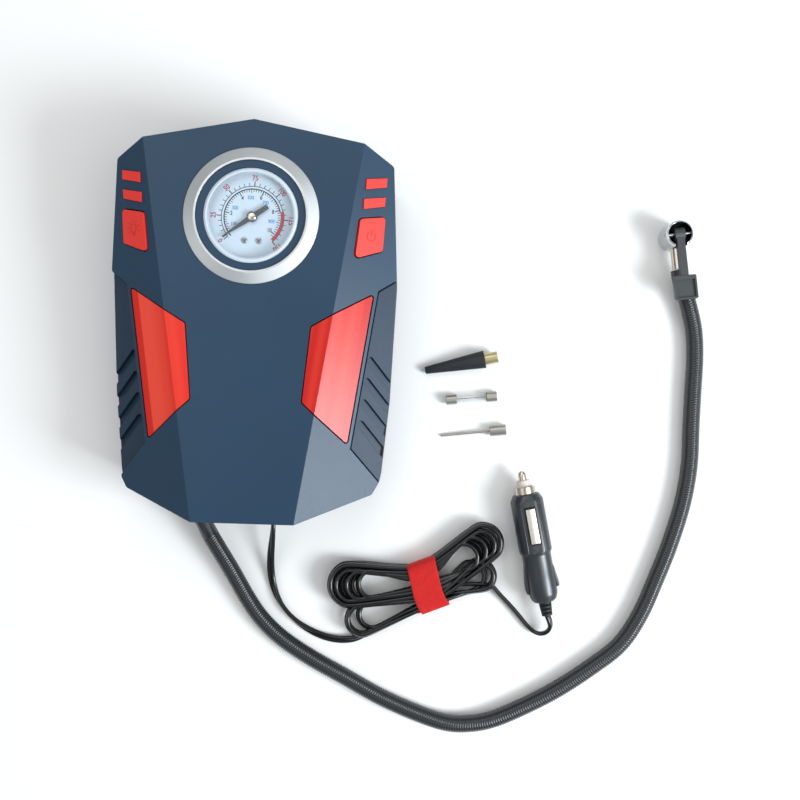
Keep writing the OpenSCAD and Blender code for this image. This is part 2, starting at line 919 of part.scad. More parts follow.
module pump_cylinder() {
    color("#c4c8ca")
        difference() {
            union() {
                along_x(rod_axis_y, motor_z, flange_x + flange_t, head_x, bore_r + cylinder_wall);
                for (i = [0 : 4])
                    along_x(rod_axis_y, motor_z, flange_x + flange_t + 2 + i * 4,
                        flange_x + flange_t + 3.4 + i * 4, bore_r + cylinder_wall + 1.8);
            }
            along_x(rod_axis_y, motor_z, flange_x, head_x + 1, bore_r);
        }
}

module piston() {
    color("#d6d9da")
        difference() {
            union() {
                for (x = [piston_x, piston_x + seal_at + seal_w])
                    along_x(rod_axis_y, motor_z, x, x + seal_at, bore_r - 0.3);
                along_x(rod_axis_y, motor_z, piston_x, piston_x + piston_t, seal_core_r);
                translate([crank_x + throw, rod_y, motor_z - 2.4])
                    cube([piston_x - crank_x - throw + 1, rod_t, 4.8]);
                along_y(crank_x + throw, motor_z, rod_y, rod_y + rod_t, 4.4);
            }
            along_y(crank_x + throw, motor_z, rod_y - 1, rod_y + rod_t + 1, 1.75 + run_fit);
        }
}

module piston_seal() {
    color("#24262a")
        difference() {
            along_x(rod_axis_y, motor_z, piston_x + seal_at, piston_x + seal_at + seal_w, bore_r - run_fit);
            along_x(rod_axis_y, motor_z, piston_x, piston_x + piston_t, seal_core_r);
        }
}

module cylinder_head() {
    color("#aeb3b6")
        difference() {
            union() {
                along_x(rod_axis_y, motor_z, head_x, head_x + head_l, bore_r + cylinder_wall);
                along_y(head_x + 5, motor_z, rod_axis_y, -5, barb_r);
            }
            along_x(rod_axis_y, motor_z, head_x - 1, head_x + 3, 3);
        }
}

module pump_tube() {
    color("#dfe3e2") swept(pump_tube_route, tube_r, 8, 3);
}

module outlet_tube() {
    color("#dfe3e2") swept(outlet_tube_route, tube_r, 8, 3);
}

module supply_wires() {
    color("#1b1b1d") {
        swept(supply_route, 1, 6, 3);
        swept(motor_wire_route, 1, 6, 3);
    }
}

// ---------- hose and chuck ----------

module hose_gland() {
    flange = 1.8;
    color("#1f2123")
        at_gland() {
            along_y(0, 0, -boss_face - 1, 15, hose_r + 1.55);
            along_y(0, 0, -boss_face - flange, -boss_face, hose_r + 3.6);
            translate([0, 0.1 - boss_face - flange, 0])
                rotate([90, 0, 0])
                    cylinder(h = gland_out - boss_face - flange + 0.1, r1 = hose_r + 2.4, r2 = hose_r + 1.1);
            along_y(0, 0, 14.9, 19.1, barb_r);
        }
}

module cord_grommet() {
    color("#1f2123") {
        along_y(grommet_x, outlet_z, -bottom_y - 1.5, -104, cord_r + 1.9);
        along_y(grommet_x, outlet_z, -bottom_y - 1.5, -bottom_y, cord_r + 3.4);
        translate([grommet_x, -bottom_y - 1.4, outlet_z])
            rotate([90, 0, 0])
                cylinder(h = grommet_out - 1.4, r1 = cord_r + 2.2, r2 = cord_r + 0.7);
    }
}

module air_hose() {
    color("#2c3035") swept(hose_route, hose_r, 12, 2);
}

// Places its children at the chuck: Z up the head, -Y towards the hose
module at_chuck() {
    translate(chuck_spot) rotate([0, 0, chuck_turn]) children();
}

module hose_ferrule() {
    color("#b5a896")
        at_chuck() along_y(0, socket_z, -chuck_r - ferrule_l, -chuck_r + 0.8, ferrule_r);
}

module chuck_body() {
    color("#c3c6c8")
        at_chuck()
            difference() {
                rotate_extrude()
                    polygon([
                        [0, 0.4], [chuck_r - 0.8, 0.4], [chuck_r, 1.2], [chuck_r, chuck_h - 1.4],
                        [chuck_r - 0.5, chuck_h - 0.3], [chuck_r - 1, chuck_h], [0, chuck_h]
                    ]);
                translate([0, 0, -1]) cylinder(h = 11, r = mouth_r);
                translate([0, 0, 2.4]) cylinder(h = 4, r = mouth_r + 2);
                translate([0, 0, slot_floor]) cylinder(h = 20, r = chuck_r - 1.3);
                translate([-lever_w / 2 - gap, -20, slot_floor]) cube([lever_w + 2 * gap, 20, 20]);
                along_x(0, pin_z, -20, 20, pin_r);
                along_y(0, socket_z, -20, -chuck_r + 0.8, ferrule_r);
                along_y(0, socket_z, -20, 0, 1.4);
            }
}

module chuck_seal() {
    color("#1d1f20")
        at_chuck()
            translate([0, 0, 2.4])
                difference() {
                    cylinder(h = 4, r = mouth_r + 2);
                    translate([0, 0, -1]) cylinder(h = 6, r = mouth_r + 0.1);
                }
}

module lever_pin() {
    color("#8f9396") at_chuck() along_x(0, pin_z, -chuck_r + 0.1, chuck_r - 0.1, pin_r);
}

module chuck_lever() {
    neck_half = lever_w / 2 - 0.7;
    color("#4a4e50")
        at_chuck()
            difference() {
                union() {
                    along_x(0, pin_z, -lever_w / 2, lever_w / 2, cam_r);
                    translate([-neck_half, tab_l - lever_l - 1, pin_z])
                        cube([2 * neck_half, lever_l - tab_l + 1, 3.4]);
                    raised(pin_z, pin_z + 3.6)
                        rounded(1)
                            polygon([
                                [-tab_half_w, tab_l - lever_l], [tab_half_w, tab_l - lever_l],
                                [tab_half_w, -lever_l], [-tab_half_w, -lever_l]
                            ]);
                }
                along_x(0, pin_z, -10, 10, pin_r + run_fit);
                raised(pin_z + 2.2, pin_z + 9)
                    polygon([
                        [1.2 - tab_half_w, tab_l - lever_l - 2.6], [tab_half_w - 1.2, tab_l - lever_l - 2.6],
                        [tab_half_w - 1.2, 1.2 - lever_l], [1.2 - tab_half_w, 1.2 - lever_l]
                    ]);
            }
}

// ---------- cord and plug ----------

module cord_lead() {
    color("#1e2022") swept(lead_route, cord_r, 8, 2);
}

module plug_lead() {
    color("#1e2022") swept(plug_lead_route, cord_r, 8, 2);
}

// One end of the hank: its two lobes drawn in to the waist
module hank_end(lobes) {
    hull() {
        for (lobe = lobes)
            translate([lobe[0], lobe[1]]) circle(r = lobe[2], $fn = 32);
        rotate(strap_turn) square([hank_waist_l, hank_waist_w - 1], center = true);
    }
}

module hank_plan() {
    offset(r = -4, $fn = 24)
        offset(delta = 4) {
            hank_end(hank_lobes_left);
            hank_end(hank_lobes_right);
        }
}

module at_hank() {
    translate([hank_spot[0], hank_spot[1], 0]) rotate([0, 0, hank_turn]) children();
}

module cord_hank() {
    color("#1e2022")
        at_hank()
            difference() {
                raised(strap_t + gap, strap_t + gap + hank_h) hank_plan();
                rotate([0, 0, strap_turn])
                    for (s = [0, 1])
                        mirror([0, s, 0])
                            translate([-strap_w / 2 - 1, hank_waist_w / 2, 0]) cube([strap_w + 2, 40, 40]);
            }
}

module cord_strap() {
    outer_w = hank_waist_w + 2 * (strap_t + gap);
    outer_h = hank_h + 2 * (strap_t + gap);
    color("#e02020")
        at_hank()
            rotate([0, 0, strap_turn])
                rotate([90, 0, 90])
                    translate([0, outer_h / 2, -strap_w / 2])
                        linear_extrude(strap_w)
                            difference() {
                                rounded(3) square([outer_w, outer_h], center = true);
                                square([outer_w - 2 * strap_t, outer_h - 2 * strap_t], center = true);
                            }
}

// Places its children on the plug: Z runs from the tip to the cord, Y points up
module at_plug() {
    translate(plug_spot) rotate([0, 0, plug_turn]) rotate([90, 0, 0]) children();
}

module contact_slot(grow) {
    for (s = [-1, 1])
        translate([-2.7 - grow, s > 0 ? plug_r - 3 : -plug_r - 2, 23 - grow])
            cube([5.4 + 2 * grow, 5, 21 + 2 * grow]);
}

module plug_body() {
    color("#3a3f45")
        at_plug()
            difference() {
                union() {
                    rotate_extrude()
                        polygon([
                            [0, 14.3], [8, 14.3], [plug_r, 18], [plug_r, 50], [plug_r - 1.2, 52],
                            [plug_r - 1.2, plug_l - 5], [plug_r - 2.4, plug_l - 1.5], [6, plug_l], [0, plug_l]
                        ]);
                    for (s = [-1, 1])
                        translate([s > 0 ? 5 : -plug_r - 0.6, -3, plug_l - 16]) cube([plug_r - 4.4, 6, 8]);
                }
                translate([0, 0, 13]) cylinder(h = 34, r = 4.5);
                contact_slot(0.4);
            }
}

module plug_contacts() {
    color("#d8d2c0")
        at_plug()
            intersection() {
                contact_slot(0);
                difference() {
                    cylinder(h = 60, r = plug_r + 0.7);
                    cylinder(h = 60, r = plug_r - 1);
                }
            }
}

module plug_ring() {
    color("#c9c4b4")
        at_plug()
            translate([0, 0, 10])
                difference() {
                    cylinder(h = 4.3, r = 6.45);
                    translate([0, 0, -1]) cylinder(h = 7, r = 4.5);
                }
}

module plug_insulator() {
    color("#d9cdc8")
        at_plug()
            translate([0, 0, 6])
                difference() {
                    cylinder(h = 4, r1 = 4, r2 = 4.7);
                    translate([0, 0, -1]) cylinder(h = 7, r = 2.5 + run_fit);
                }
}

module plug_tip() {
    color("#d3cdbb")
        at_plug() {
            rotate_extrude()
                polygon([
                    [0, 0], [1, 0.2], [2, 1], [2.5, 2.4], [2.5, 11.5],
                    [4.2, 11.5], [4.2, 13], [2.5, 13], [2.5, 26], [0, 26]
                ]);
        }
}

module plug_strain_relief() {
    color("#2b2e31")
        at_plug()
            difference() {
                translate([0, 0, plug_l]) cylinder(h = relief_l, r1 = 4, r2 = 3.2);
                for (i = [0 : 2])
                    translate([-8, 1.6, plug_l + 1.6 + i * 2.4]) cube([16, 8, 1.1]);
            }
}

// ---------- loose fittings ----------

// Places its children with Z along a line that starts at p, turned a and raised e
module lying(p, a, e) {
    translate(p) rotate([0, 90 - e, a]) children();
}

module nozzle_adapter() {
    color("#2a2c2e")
        lying([100, -22.2, 2.6], 12.3, 5.1)
            difference() {
                cylinder(h = nozzle_l, r1 = 2.3, r2 = 5.9);
                translate([0, 0, -1]) cylinder(h = nozzle_l + 2, r = 1.2);
            }
}

module nozzle_stub() {
    color("#c9b27a")
        lying([100, -22.2, 2.6], 12.3, 5.1)
            difference() {
                translate([0, 0, nozzle_l]) cylinder(h = 8, r = 3.6);
                translate([0, 0, nozzle_l - 1]) cylinder(h = 10, r = 1.2);
            }
}

module fuse_glass() {
    color("#dfe8ea", 0.5)
        lying([114, -40, fuse_r], 6, 0)
            difference() {
                translate([0, 0, 5]) cylinder(h = fuse_l - 10, r = fuse_r - 0.35);
                translate([0, 0, 4]) cylinder(h = fuse_l - 8, r = fuse_r - 1.1);
            }
}

module fuse_caps() {
    color("#cfc9b8")
        lying([114, -40, fuse_r], 6, 0) {
            for (z = [0, fuse_l - 6.4])
                difference() {
                    translate([0, 0, z]) cylinder(h = 6.4, r = fuse_r);
                    translate([0, 0, z > 0 ? z - 1 : 5]) cylinder(h = 2.4, r = fuse_r - 0.3);
                }
        }
}

module ball_needle() {
    color("#cfc9b8")
        lying([111.5, -62.3, 0.9], 7.2, 3.9)
            difference() {
                union() {
                    cylinder(h = ball_needle_l - 8, r = 0.8);
                    translate([0, 0, ball_needle_l - 10]) cylinder(h = 10, r = 3.4);
                }
                translate([0, 0, ball_needle_l - 6]) cylinder(h = 8, r = 1.6);
            }
}

rear_case();
front_cover();
rubber_feet();
case_screws();
left_lamp_lens();
right_lamp_lens();
lamp_reflectors();
lamp_boards();
trim_bars();
light_button();
power_button();
push_switches();
switch_boards();
gauge_ring();
gauge_lens();
gauge_case();
gauge_dial();
dial_screws();
gauge_needle();
gauge_movement();
bourdon_tube();
gauge_stem();
motor_can();
motor_rotor();
motor_end_cap();
drive_pinion();
crank_gear();
crank_shaft();
crank_bush();
pump_frame();
pump_cylinder();
piston();
piston_seal();
cylinder_head();
pump_tube();
outlet_tube();
supply_wires();
hose_gland();
cord_grommet();
air_hose();
hose_ferrule();
chuck_body();
chuck_lever();
lever_pin();
chuck_seal();
cord_lead();
cord_hank();
plug_lead();
cord_strap();
plug_body();
plug_tip();
plug_ring();
plug_insulator();
plug_contacts();
plug_strain_relief();
nozzle_adapter();
nozzle_stub();
fuse_glass();
fuse_caps();
ball_needle();
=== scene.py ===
# %% [markdown]
# This notebook dresses a portable tire inflator: a flat faceted 12 V pump with a dial gauge, two
# red lamps, an air hose with a lever chuck, and a power cord wound in a hank. The construction is
# already fixed, so we load it as a frame and never move it. Every place below is read from that
# frame or named once in millimetres.

# %% Load the fixed frame
import math

import bmesh
import bpy
from mathutils import Matrix, Vector


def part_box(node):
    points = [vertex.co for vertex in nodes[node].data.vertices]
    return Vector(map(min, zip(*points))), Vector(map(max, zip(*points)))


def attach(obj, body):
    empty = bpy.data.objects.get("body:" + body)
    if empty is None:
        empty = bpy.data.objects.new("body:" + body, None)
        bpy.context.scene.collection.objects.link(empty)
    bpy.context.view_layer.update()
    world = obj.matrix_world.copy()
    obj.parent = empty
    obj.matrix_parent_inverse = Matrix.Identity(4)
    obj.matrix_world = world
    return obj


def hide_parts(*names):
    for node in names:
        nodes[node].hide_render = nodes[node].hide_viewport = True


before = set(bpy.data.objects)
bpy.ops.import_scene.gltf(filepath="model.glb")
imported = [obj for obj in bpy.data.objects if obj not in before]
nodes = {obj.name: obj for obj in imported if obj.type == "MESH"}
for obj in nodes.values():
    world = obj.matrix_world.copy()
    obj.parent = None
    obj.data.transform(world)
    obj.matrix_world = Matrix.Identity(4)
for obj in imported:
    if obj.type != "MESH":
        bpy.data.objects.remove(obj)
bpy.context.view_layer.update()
MM = 0.001

# %% [markdown]
# The camera looks straight down from 600 mm, as a product table shot does, and the body lies
# turned a little less than two degrees in its view. A 43 mm lens on a 36 mm sensor then takes in
# half a metre of table, which is the whole hose and cord. In Blender an object is only a place and
# a name for some data, so one function makes the object and puts it in the scene.

# %% Camera
def linked(name, data):
    """A new object for a camera, a lamp, a mesh or a curve, put in the scene."""
    thing = bpy.data.objects.new(name, data)
    bpy.context.scene.collection.objects.link(thing)
    return thing


EYE = Vector((85.3, -41.0, 600.0)) * MM
VIEW_TURN = math.radians(1.8)
camera = linked("camera", bpy.data.cameras.new("camera"))
camera.location = EYE
camera.rotation_euler = (0, 0, VIEW_TURN)
camera.data.lens = 43.2
camera.data.sensor_width = 36
camera.data.clip_start = 0.01
bpy.context.scene.camera = camera
print("camera at", tuple(round(c, 3) for c in EYE))

# %% [markdown]
# Colours are picked as sRGB hex codes, the numbers a colour picker shows, but shaders work in
# linear light. One function makes the change. One more fills a node's sockets: a socket given as a
# value is linked, and anything else is typed in. A third adds a node, sets its options and fills
# it. Two more make a new material, and open a made one again so that a later step can lay one
# more thing over its colour. The last measures how far a point is from an upright axis.

# %% Colour and node helpers
def linear(code):
    """A hex colour such as #365065 as linear red, green, blue and full alpha."""
    parts = [int(code[i:i + 2], 16) / 255 for i in (1, 3, 5)]
    bent = [c / 12.92 if c <= 0.04045 else ((c + 0.055) / 1.055) ** 2.4 for c in parts]
    return (*bent, 1.0)


def fill(node, sockets):
    """Fills a node's inputs from a dict of input name or number to a value or a link."""
    for name, value in sockets.items():
        if isinstance(value, bpy.types.NodeSocket):
            node.id_data.links.new(value, node.inputs[name])
        else:
            node.inputs[name].default_value = value


def add(tree, kind, sockets=None, **options):
    """Adds one shader node with its options, and fills its sockets."""
    made = tree.nodes.new("ShaderNode" + kind)
    for name, value in options.items():
        setattr(made, name, value)
    fill(made, sockets or {})
    return made


def blank(name):
    """A new material with its principled shader: the material, its tree and the shader."""
    material = bpy.data.materials.new(name)
    material.use_nodes = True
    tree = material.node_tree
    return material, tree, tree.nodes["Principled BSDF"]


def opened(material):
    """A finish's tree, its principled shader, and the socket that its colour comes from."""
    tree = material.node_tree
    shader = tree.nodes["Principled BSDF"]
    return tree, shader, shader.inputs["Base Color"].links[0].from_socket


def off_axis(tree, middle):
    """A socket: how far each point is from the upright axis through a middle, in metres."""
    place = add(tree, "TexCoord").outputs["Object"]
    centred = add(tree, "VectorMath", {0: place, 1: middle}, operation="SUBTRACT")
    flat = add(tree, "VectorMath", {0: centred.outputs[0], 1: (1, 1, 0)}, operation="MULTIPLY")
    return add(tree, "VectorMath", {0: flat.outputs[0]}, operation="LENGTH").outputs["Value"]


print("navy in linear light:", tuple(round(c, 3) for c in linear("#123A54")))

# %% [markdown]
# Nearly every surface here is one of a few makes: a moulded plastic, a metal, or a rubber. What
# the eye reads is the same three things each time. The colour drifts a little over centimetres.
# The gloss drifts too, where hands and moulds have touched. A fine grain, sized in millimetres,
# breaks the highlight. So one recipe holds these three, and each finish sets its own numbers.
# No moulded or turned edge is truly sharp either: the Bevel node rounds the light, not the mesh,
# over the last fraction of a millimetre, which draws the fine bright line along every edge.

# %% The finish recipe
def finish(name, colour, second, rough, grain_mm, grain_depth, drift_mm=18.0, metallic=0.0,
           stretch=(1, 1, 1), edge_mm=0.35, **shader_values):
    """Two near colours that drift, an uneven gloss, and a bump of the grain's real size."""
    material, tree, shader = blank(name)
    place = add(tree, "TexCoord").outputs["Object"]
    drift = add(tree, "TexNoise", {"Vector": place, "Scale": 1 / (drift_mm * MM), "Detail": 3.0})
    mixed = add(tree, "Mix", {"Factor": drift.outputs["Fac"], "A": linear(colour),
                              "B": linear(second)}, data_type="RGBA")
    laid = add(tree, "Mapping", {"Vector": place, "Scale": stretch})
    grain = add(tree, "TexNoise", {"Vector": laid.outputs["Vector"],
                                   "Scale": 1 / (grain_mm * MM), "Detail": 2.0})
    gloss = add(tree, "MapRange", {"Value": grain.outputs["Fac"], "From Min": 0.3,
                                   "From Max": 0.7, "To Min": rough * 0.9, "To Max": rough * 1.12})
    softened = add(tree, "Bevel", {"Radius": edge_mm * MM}, samples=4)
    bump = add(tree, "Bump", {"Height": grain.outputs["Fac"], "Strength": 1.0,
                              "Distance": grain_depth * MM, "Normal": softened.outputs["Normal"]})
    fill(shader, {"Base Color": mixed.outputs["Result"], "Roughness": gloss.outputs["Result"],
                  "Normal": bump.outputs["Normal"], "Metallic": metallic})
    fill(shader, {socket.replace("_", " "): value for socket, value in shader_values.items()})
    return material


print("a 0.5 mm grain has a noise scale of", 1 / (0.5 * MM))

# %% [markdown]
# The table is a plain pale sweep, and it isn't part of the object. The light is a studio's: one
# soft box low at the right, a little cooler than white, which lifts the right wing of the body,
# three weaker ones high at the back, the right and the left, and white walls that fill the rest.
# A big box gives soft edges to both highlights and shadows.

# %% Table and lights
def soft_box(name, place, aim, width, height, watts):
    """An area lamp at a place in metres, turned to face its aim."""
    lamp = bpy.data.lights.new(name, "AREA")
    lamp.shape = "RECTANGLE"
    lamp.size, lamp.size_y, lamp.energy = width, height, watts
    box = linked(name, lamp)
    box.location = place
    box.rotation_euler = (Vector(aim) - Vector(place)).to_track_quat("-Z", "Y").to_euler()
    return box


def as_object(shape, name):
    """Turns a bmesh into a linked, smooth-shaded object and frees the bmesh."""
    mesh = bpy.data.meshes.new(name)
    shape.to_mesh(mesh)
    shape.free()
    mesh.shade_smooth()
    return linked(name, mesh)


table_shape = bmesh.new()
bmesh.ops.create_grid(table_shape, x_segments=1, y_segments=1, size=3.0)
table = as_object(table_shape, "table")
table.data.materials.append(
    finish("white_table_paper", "#F4F4F3", "#F1F1F0", 0.9, 1.2, 0.01, drift_mm=300))

TABLE_MIDDLE = (0.08, -0.05, 0.0)
key = soft_box("key_box", (1.14, -0.43, 0.83), TABLE_MIDDLE, 0.5, 0.5, 19)
key.data.color = (0.89, 0.955, 1.0)
soft_box("back_box", (-0.2, 0.8, 1.35), TABLE_MIDDLE, 1.2, 1.0, 6)
soft_box("side_box", (0.85, -0.25, 1.45), TABLE_MIDDLE, 0.9, 0.8, 5)
soft_box("left_fill", (-0.8, -0.1, 1.3), TABLE_MIDDLE, 0.8, 1.0, 3)

world = bpy.data.worlds.new("white_walls")
world.use_nodes = True
fill(world.node_tree.nodes["Background"], {"Color": linear("#F2F5F8"), "Strength": 0.42})
bpy.context.scene.world = world
bpy.context.scene.view_settings.view_transform = "Standard"

# %% [markdown]
# A cord is a fixed length of something flexible. Its route is a short list of given points, the
# same as the construction's, and a smooth curve runs through them. The curve between
# two points depends on their neighbours, which is what makes the joins smooth.

# %% Smooth routes
def between(a, b, c, d, t):
    """A point on the smooth curve from b to c, with a before them and d after."""
    return 0.5 * (2 * b + (c - a) * t + (2 * a - 5 * b + 4 * c - d) * t ** 2
                  + (3 * b - a - 3 * c + d) * t ** 3)


def smooth_route(points, steps):
    """The route's own points and steps - 1 more after each of them."""
    found, last = [], len(points) - 1
    for i in range(last):
        a, d = points[max(i - 1, 0)], points[min(i + 2, last)]
        found += [between(a, points[i], points[i + 1], d, k / steps) for k in range(steps)]
    return found + [points[last]]


def length_of(path):
    """How long a path of points is."""
    return sum((b - a).length for a, b in zip(path, path[1:]))


def line_curve(name, path, tilts=None):
    """A curve object of one open spline through every point of the path."""
    curve = bpy.data.curves.new(name, "CURVE")
    curve.dimensions = "3D"
    spline = curve.splines.new("POLY")
    spline.points.add(len(path) - 1)
    for i, point in enumerate(path):
        spline.points[i].co = (*point, 1)
        spline.points[i].tilt = tilts[i] if tilts else 0.0
    return linked(name, curve)


def settled_mesh(source, name):
    """What an object looks like with its modifiers, as a new plain mesh object."""
    bpy.context.view_layer.update()
    graph = bpy.context.evaluated_depsgraph_get()
    mesh = bpy.data.meshes.new_from_object(source.evaluated_get(graph))
    mesh.name = name
    return linked(name, mesh)


def discard(*objects):
    """Removes objects that were only a help."""
    for thing in objects:
        bpy.data.objects.remove(thing)


HOSE_ROUTE = [
    (-33.05, -116.92, 14), (-30.6, -122.4, 13.5), (-25.2, -132, 11.4), (-15.2, -149, 7.8),
    (-5, -166.6, 5.7), (4.2, -179, 5.4), (17, -190.6, 5.4), (35, -202, 5.4), (57, -213.5, 5.4),
    (79, -225, 5.4), (101, -234, 5.4), (119, -239.5, 5.4), (133, -240, 5.4), (148, -237, 5.4),
    (166, -229, 5.4),
    (187, -217.5, 5.4), (208, -203, 5.4), (226, -188, 5.4), (238, -169, 5.4), (247, -147, 5.4),
    (255, -125, 5.4), (262, -100, 5.4), (265.6, -76, 5.4), (266, -51, 5.4), (266.5, -29, 5.4),
    (267, -9, 5.4), (265.6, 8, 6), (261, 24, 7.8), (257, 34, 8.8), (255.4, 39, 9),
    (254.33, 44.9, 9)]
hose_path = smooth_route([Vector(p) * MM for p in HOSE_ROUTE], 6)
print("hose route:", round(length_of(hose_path) * 1000), "mm")

# %% [markdown]
# The air hose is black rubber in a fine ribbed sleeve. Hundreds of equal ribs are a job for the
# Array modifier: we model one rib, repeat it to the hose's length, and let a Curve modifier bend
# the straight result along the route. Its UV map counts ribs one way and turns round the hose the
# other, so the sleeve's threads follow the bends.

# %% The ribbed air hose
HOSE_R = 5.2 * MM
RIB_PITCH = 1.5 * MM
RIB_DEPTH = 0.4 * MM
HOSE_SIDES = 20
RIB_COUNT = round(length_of(hose_path) / RIB_PITCH)


def rib_shape():
    """One rib from its root, up over its crown and down to the next root, along X."""
    shape = bmesh.new()
    ring = bmesh.ops.create_circle(shape, radius=HOSE_R - RIB_DEPTH, segments=HOSE_SIDES)["verts"]
    bmesh.ops.rotate(shape, verts=ring, matrix=Matrix.Rotation(math.pi / 2, 3, "Y"))
    rim = shape.edges[:]
    for share, radius in ((0.3, HOSE_R), (0.7, HOSE_R), (1.0, HOSE_R - RIB_DEPTH)):
        grown = bmesh.ops.extrude_edge_only(shape, edges=rim)["geom"]
        ring = [g for g in grown if isinstance(g, bmesh.types.BMVert)]
        rim = [g for g in grown if isinstance(g, bmesh.types.BMEdge)]
        for vert in ring:
            flat = Vector((0, vert.co.y, vert.co.z)).normalized() * radius
            vert.co = Vector((share * RIB_PITCH, flat.y, flat.z))
    wind_round(shape, RIB_PITCH)
    bmesh.ops.recalc_face_normals(shape, faces=shape.faces)
    return shape


def wind_round(shape, pitch):
    """A UV map for a piece that lies along X: ribs along, turns round."""
    layer = shape.loops.layers.uv.new("UVMap")
    for face in shape.faces:
        middle = face.calc_center_median()
        base = math.atan2(middle.z, middle.y)
        for loop in face.loops:
            angle = math.atan2(loop.vert.co.z, loop.vert.co.y)
            turn = (angle - base + math.pi) % math.tau - math.pi + base
            loop[layer].uv = (loop.vert.co.x / pitch, turn / math.tau)


def closed_ends(thing):
    """Fills the open ends of a tube's mesh."""
    shape = bmesh.new()
    shape.from_mesh(thing.data)
    bmesh.ops.remove_doubles(shape, verts=shape.verts, dist=0.00001)
    bmesh.ops.holes_fill(shape, edges=shape.edges, sides=64)
    shape.to_mesh(thing.data)
    shape.free()
    thing.data.shade_smooth()


rib = as_object(rib_shape(), "one_rib")
repeat = rib.modifiers.new("repeat", "ARRAY")
repeat.fit_type = "FIXED_COUNT"
repeat.count = RIB_COUNT
repeat.use_merge_vertices = True
repeat.offset_u = 1.0
bend = rib.modifiers.new("bend", "CURVE")
bend.object = line_curve("hose_line", hose_path)
hose = settled_mesh(rib, "ribbed_air_hose")
discard(bend.object, rib)
closed_ends(hose)
print("hose:", len(hose.data.polygons), "faces,", RIB_COUNT, "ribs")

# %% [markdown]
# The sleeve on the hose is knitted from black yarn over the ribs, so it isn't as smooth as bare
# rubber: crossing threads break the long highlight into beads. Two sine waves that lean opposite
# ways over the UV map make the crossing, eight threads round and one for every rib. The crests of
# the threads are painted lighter: the yarn's pattern, with a painted highlight on each crest.

# %% Hose finish and its body
THREADS_ROUND = 8


def braided_rubber(name):
    """Black nylon yarn over rubber: a soft sheen, crossing threads and painted highlights on them.
    """
    material, tree, shader = blank(name)
    spread = add(tree, "SeparateXYZ", {"Vector": add(tree, "UVMap").outputs["UV"]})
    along, around = spread.outputs["X"], spread.outputs["Y"]
    waves = []
    for lean in (THREADS_ROUND, -THREADS_ROUND):
        leaned = add(tree, "Math", {0: around, 1: float(lean)}, operation="MULTIPLY")
        summed = add(tree, "Math", {0: along, 1: leaned.outputs[0]}, operation="ADD")
        phase = add(tree, "Math", {0: summed.outputs[0], 1: math.tau}, operation="MULTIPLY")
        waves.append(add(tree, "Math", {0: phase.outputs[0]}, operation="SINE").outputs[0])
    crossed = add(tree, "Math", {0: waves[0], 1: waves[1]}, operation="MAXIMUM")
    crest_sheen = add(tree, "MapRange", {"Value": crossed.outputs[0], "From Min": -0.6, "From Max": 1.0})
    # The lighter crest colour is partly the braid's pattern and partly a painted highlight.
    mixed = add(tree, "Mix", {"Factor": crest_sheen.outputs["Result"], "A": linear("#0A0B0C"),
                              "B": linear("#2A2E32")}, data_type="RGBA")
    bump = add(tree, "Bump", {"Height": crossed.outputs[0], "Strength": 0.6,
                              "Distance": 0.1 * MM})
    fill(shader, {"Base Color": mixed.outputs["Result"], "Normal": bump.outputs["Normal"],
                  "Roughness": 0.3, "Specular IOR Level": 0.6})
    return material


def placed(piece, body, slot, material, *stands_for):
    """Gives a piece its finish, the body it rides on, and the nodes it stands for. Its slot is not
    used.
    """
    piece.data.materials.clear()
    piece.data.materials.append(material)
    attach(piece, body)
    if stands_for:
        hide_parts(*stands_for)
    return piece


placed(hose, "inflator", "hose_black", braided_rubber("braided_hose_sleeve"), "air_hose")

# %% [markdown]
# The power cord is one flat flex of two cores side by side, 5 mm wide and 2.6 mm thick. A flat
# flex bends easily only across its thin side, so it stands on edge in a tight loop and rolls over
# as it runs: each point of the route carries a lean, from 0 degrees lying flat to 90 on edge.
# Where it lies on the table its height follows from that lean. Its two free ends come first: the
# lead from the body to the hank, and the lead from the hank to the plug.

# %% The power cord's two leads
FLEX_W, FLEX_T = 5.0, 2.6
NEAR_TABLE, SETTLE, CLEAR = 3.3, 1.4, 0.4
LEAD_IN = [
    (10.5, -117, 14, 80), (10.4, -121, 13.8, 75), (9.8, -129, 12, 55), (8.4, -141, 7, 20),
    (8.6, -154, 3, 20), (13, -167, 2.6, 60), (21, -177, 2.6, 80), (31, -184.6, 2.6, 45),
    (43, -190, 2.6, 20), (54, -191.4, 2.8, 25), (62, -190.2, 3.2, 40), (68, -187.2, 3.6, 60)]
LEAD_OUT = [
    (143.6, -152.6, 4.4, 80), (147.6, -156.6, 3.6, 80), (153, -162, 2.9, 75),
    (159.6, -168.6, 2.6, 75), (165, -174.6, 2.6, 80), (169.8, -180.2, 3, 80),
    (175.2, -183.5, 4.4, 80), (180.4, -181.8, 6.8, 80), (182.4, -177.4, 9.4, 72),
    (181.2, -173.4, 10.8, 60), (179.8, -170.2, 11, 60)]


def half_height(lean):
    """Half the height of the flex when it leans so many degrees from flat."""
    turn = math.radians(lean)
    core = FLEX_T / 2
    return core + (FLEX_W / 2 - core) * math.sin(turn)


def rested(points):
    """Lets the stretches that lie on the table down to it."""
    return [(Vector((x, y, max(z - SETTLE, half_height(lean) + CLEAR) if z < NEAR_TABLE else z)),
             lean) for x, y, z, lean in points]


lead_in, lead_out = rested(LEAD_IN), rested(LEAD_OUT)
print("leads:", len(lead_in), "and", len(lead_out), "points")

# %% [markdown]
# The spare length is folded into a hank. Every turn passes twice through the waist, where the
# strap holds it, and round one loop at each end. The turns fill the waist in lanes and two rows,
# like wires in a harness. It is easiest to draw in the hank's own plane, with X along it, and one
# function then carries each point to its place on the table.

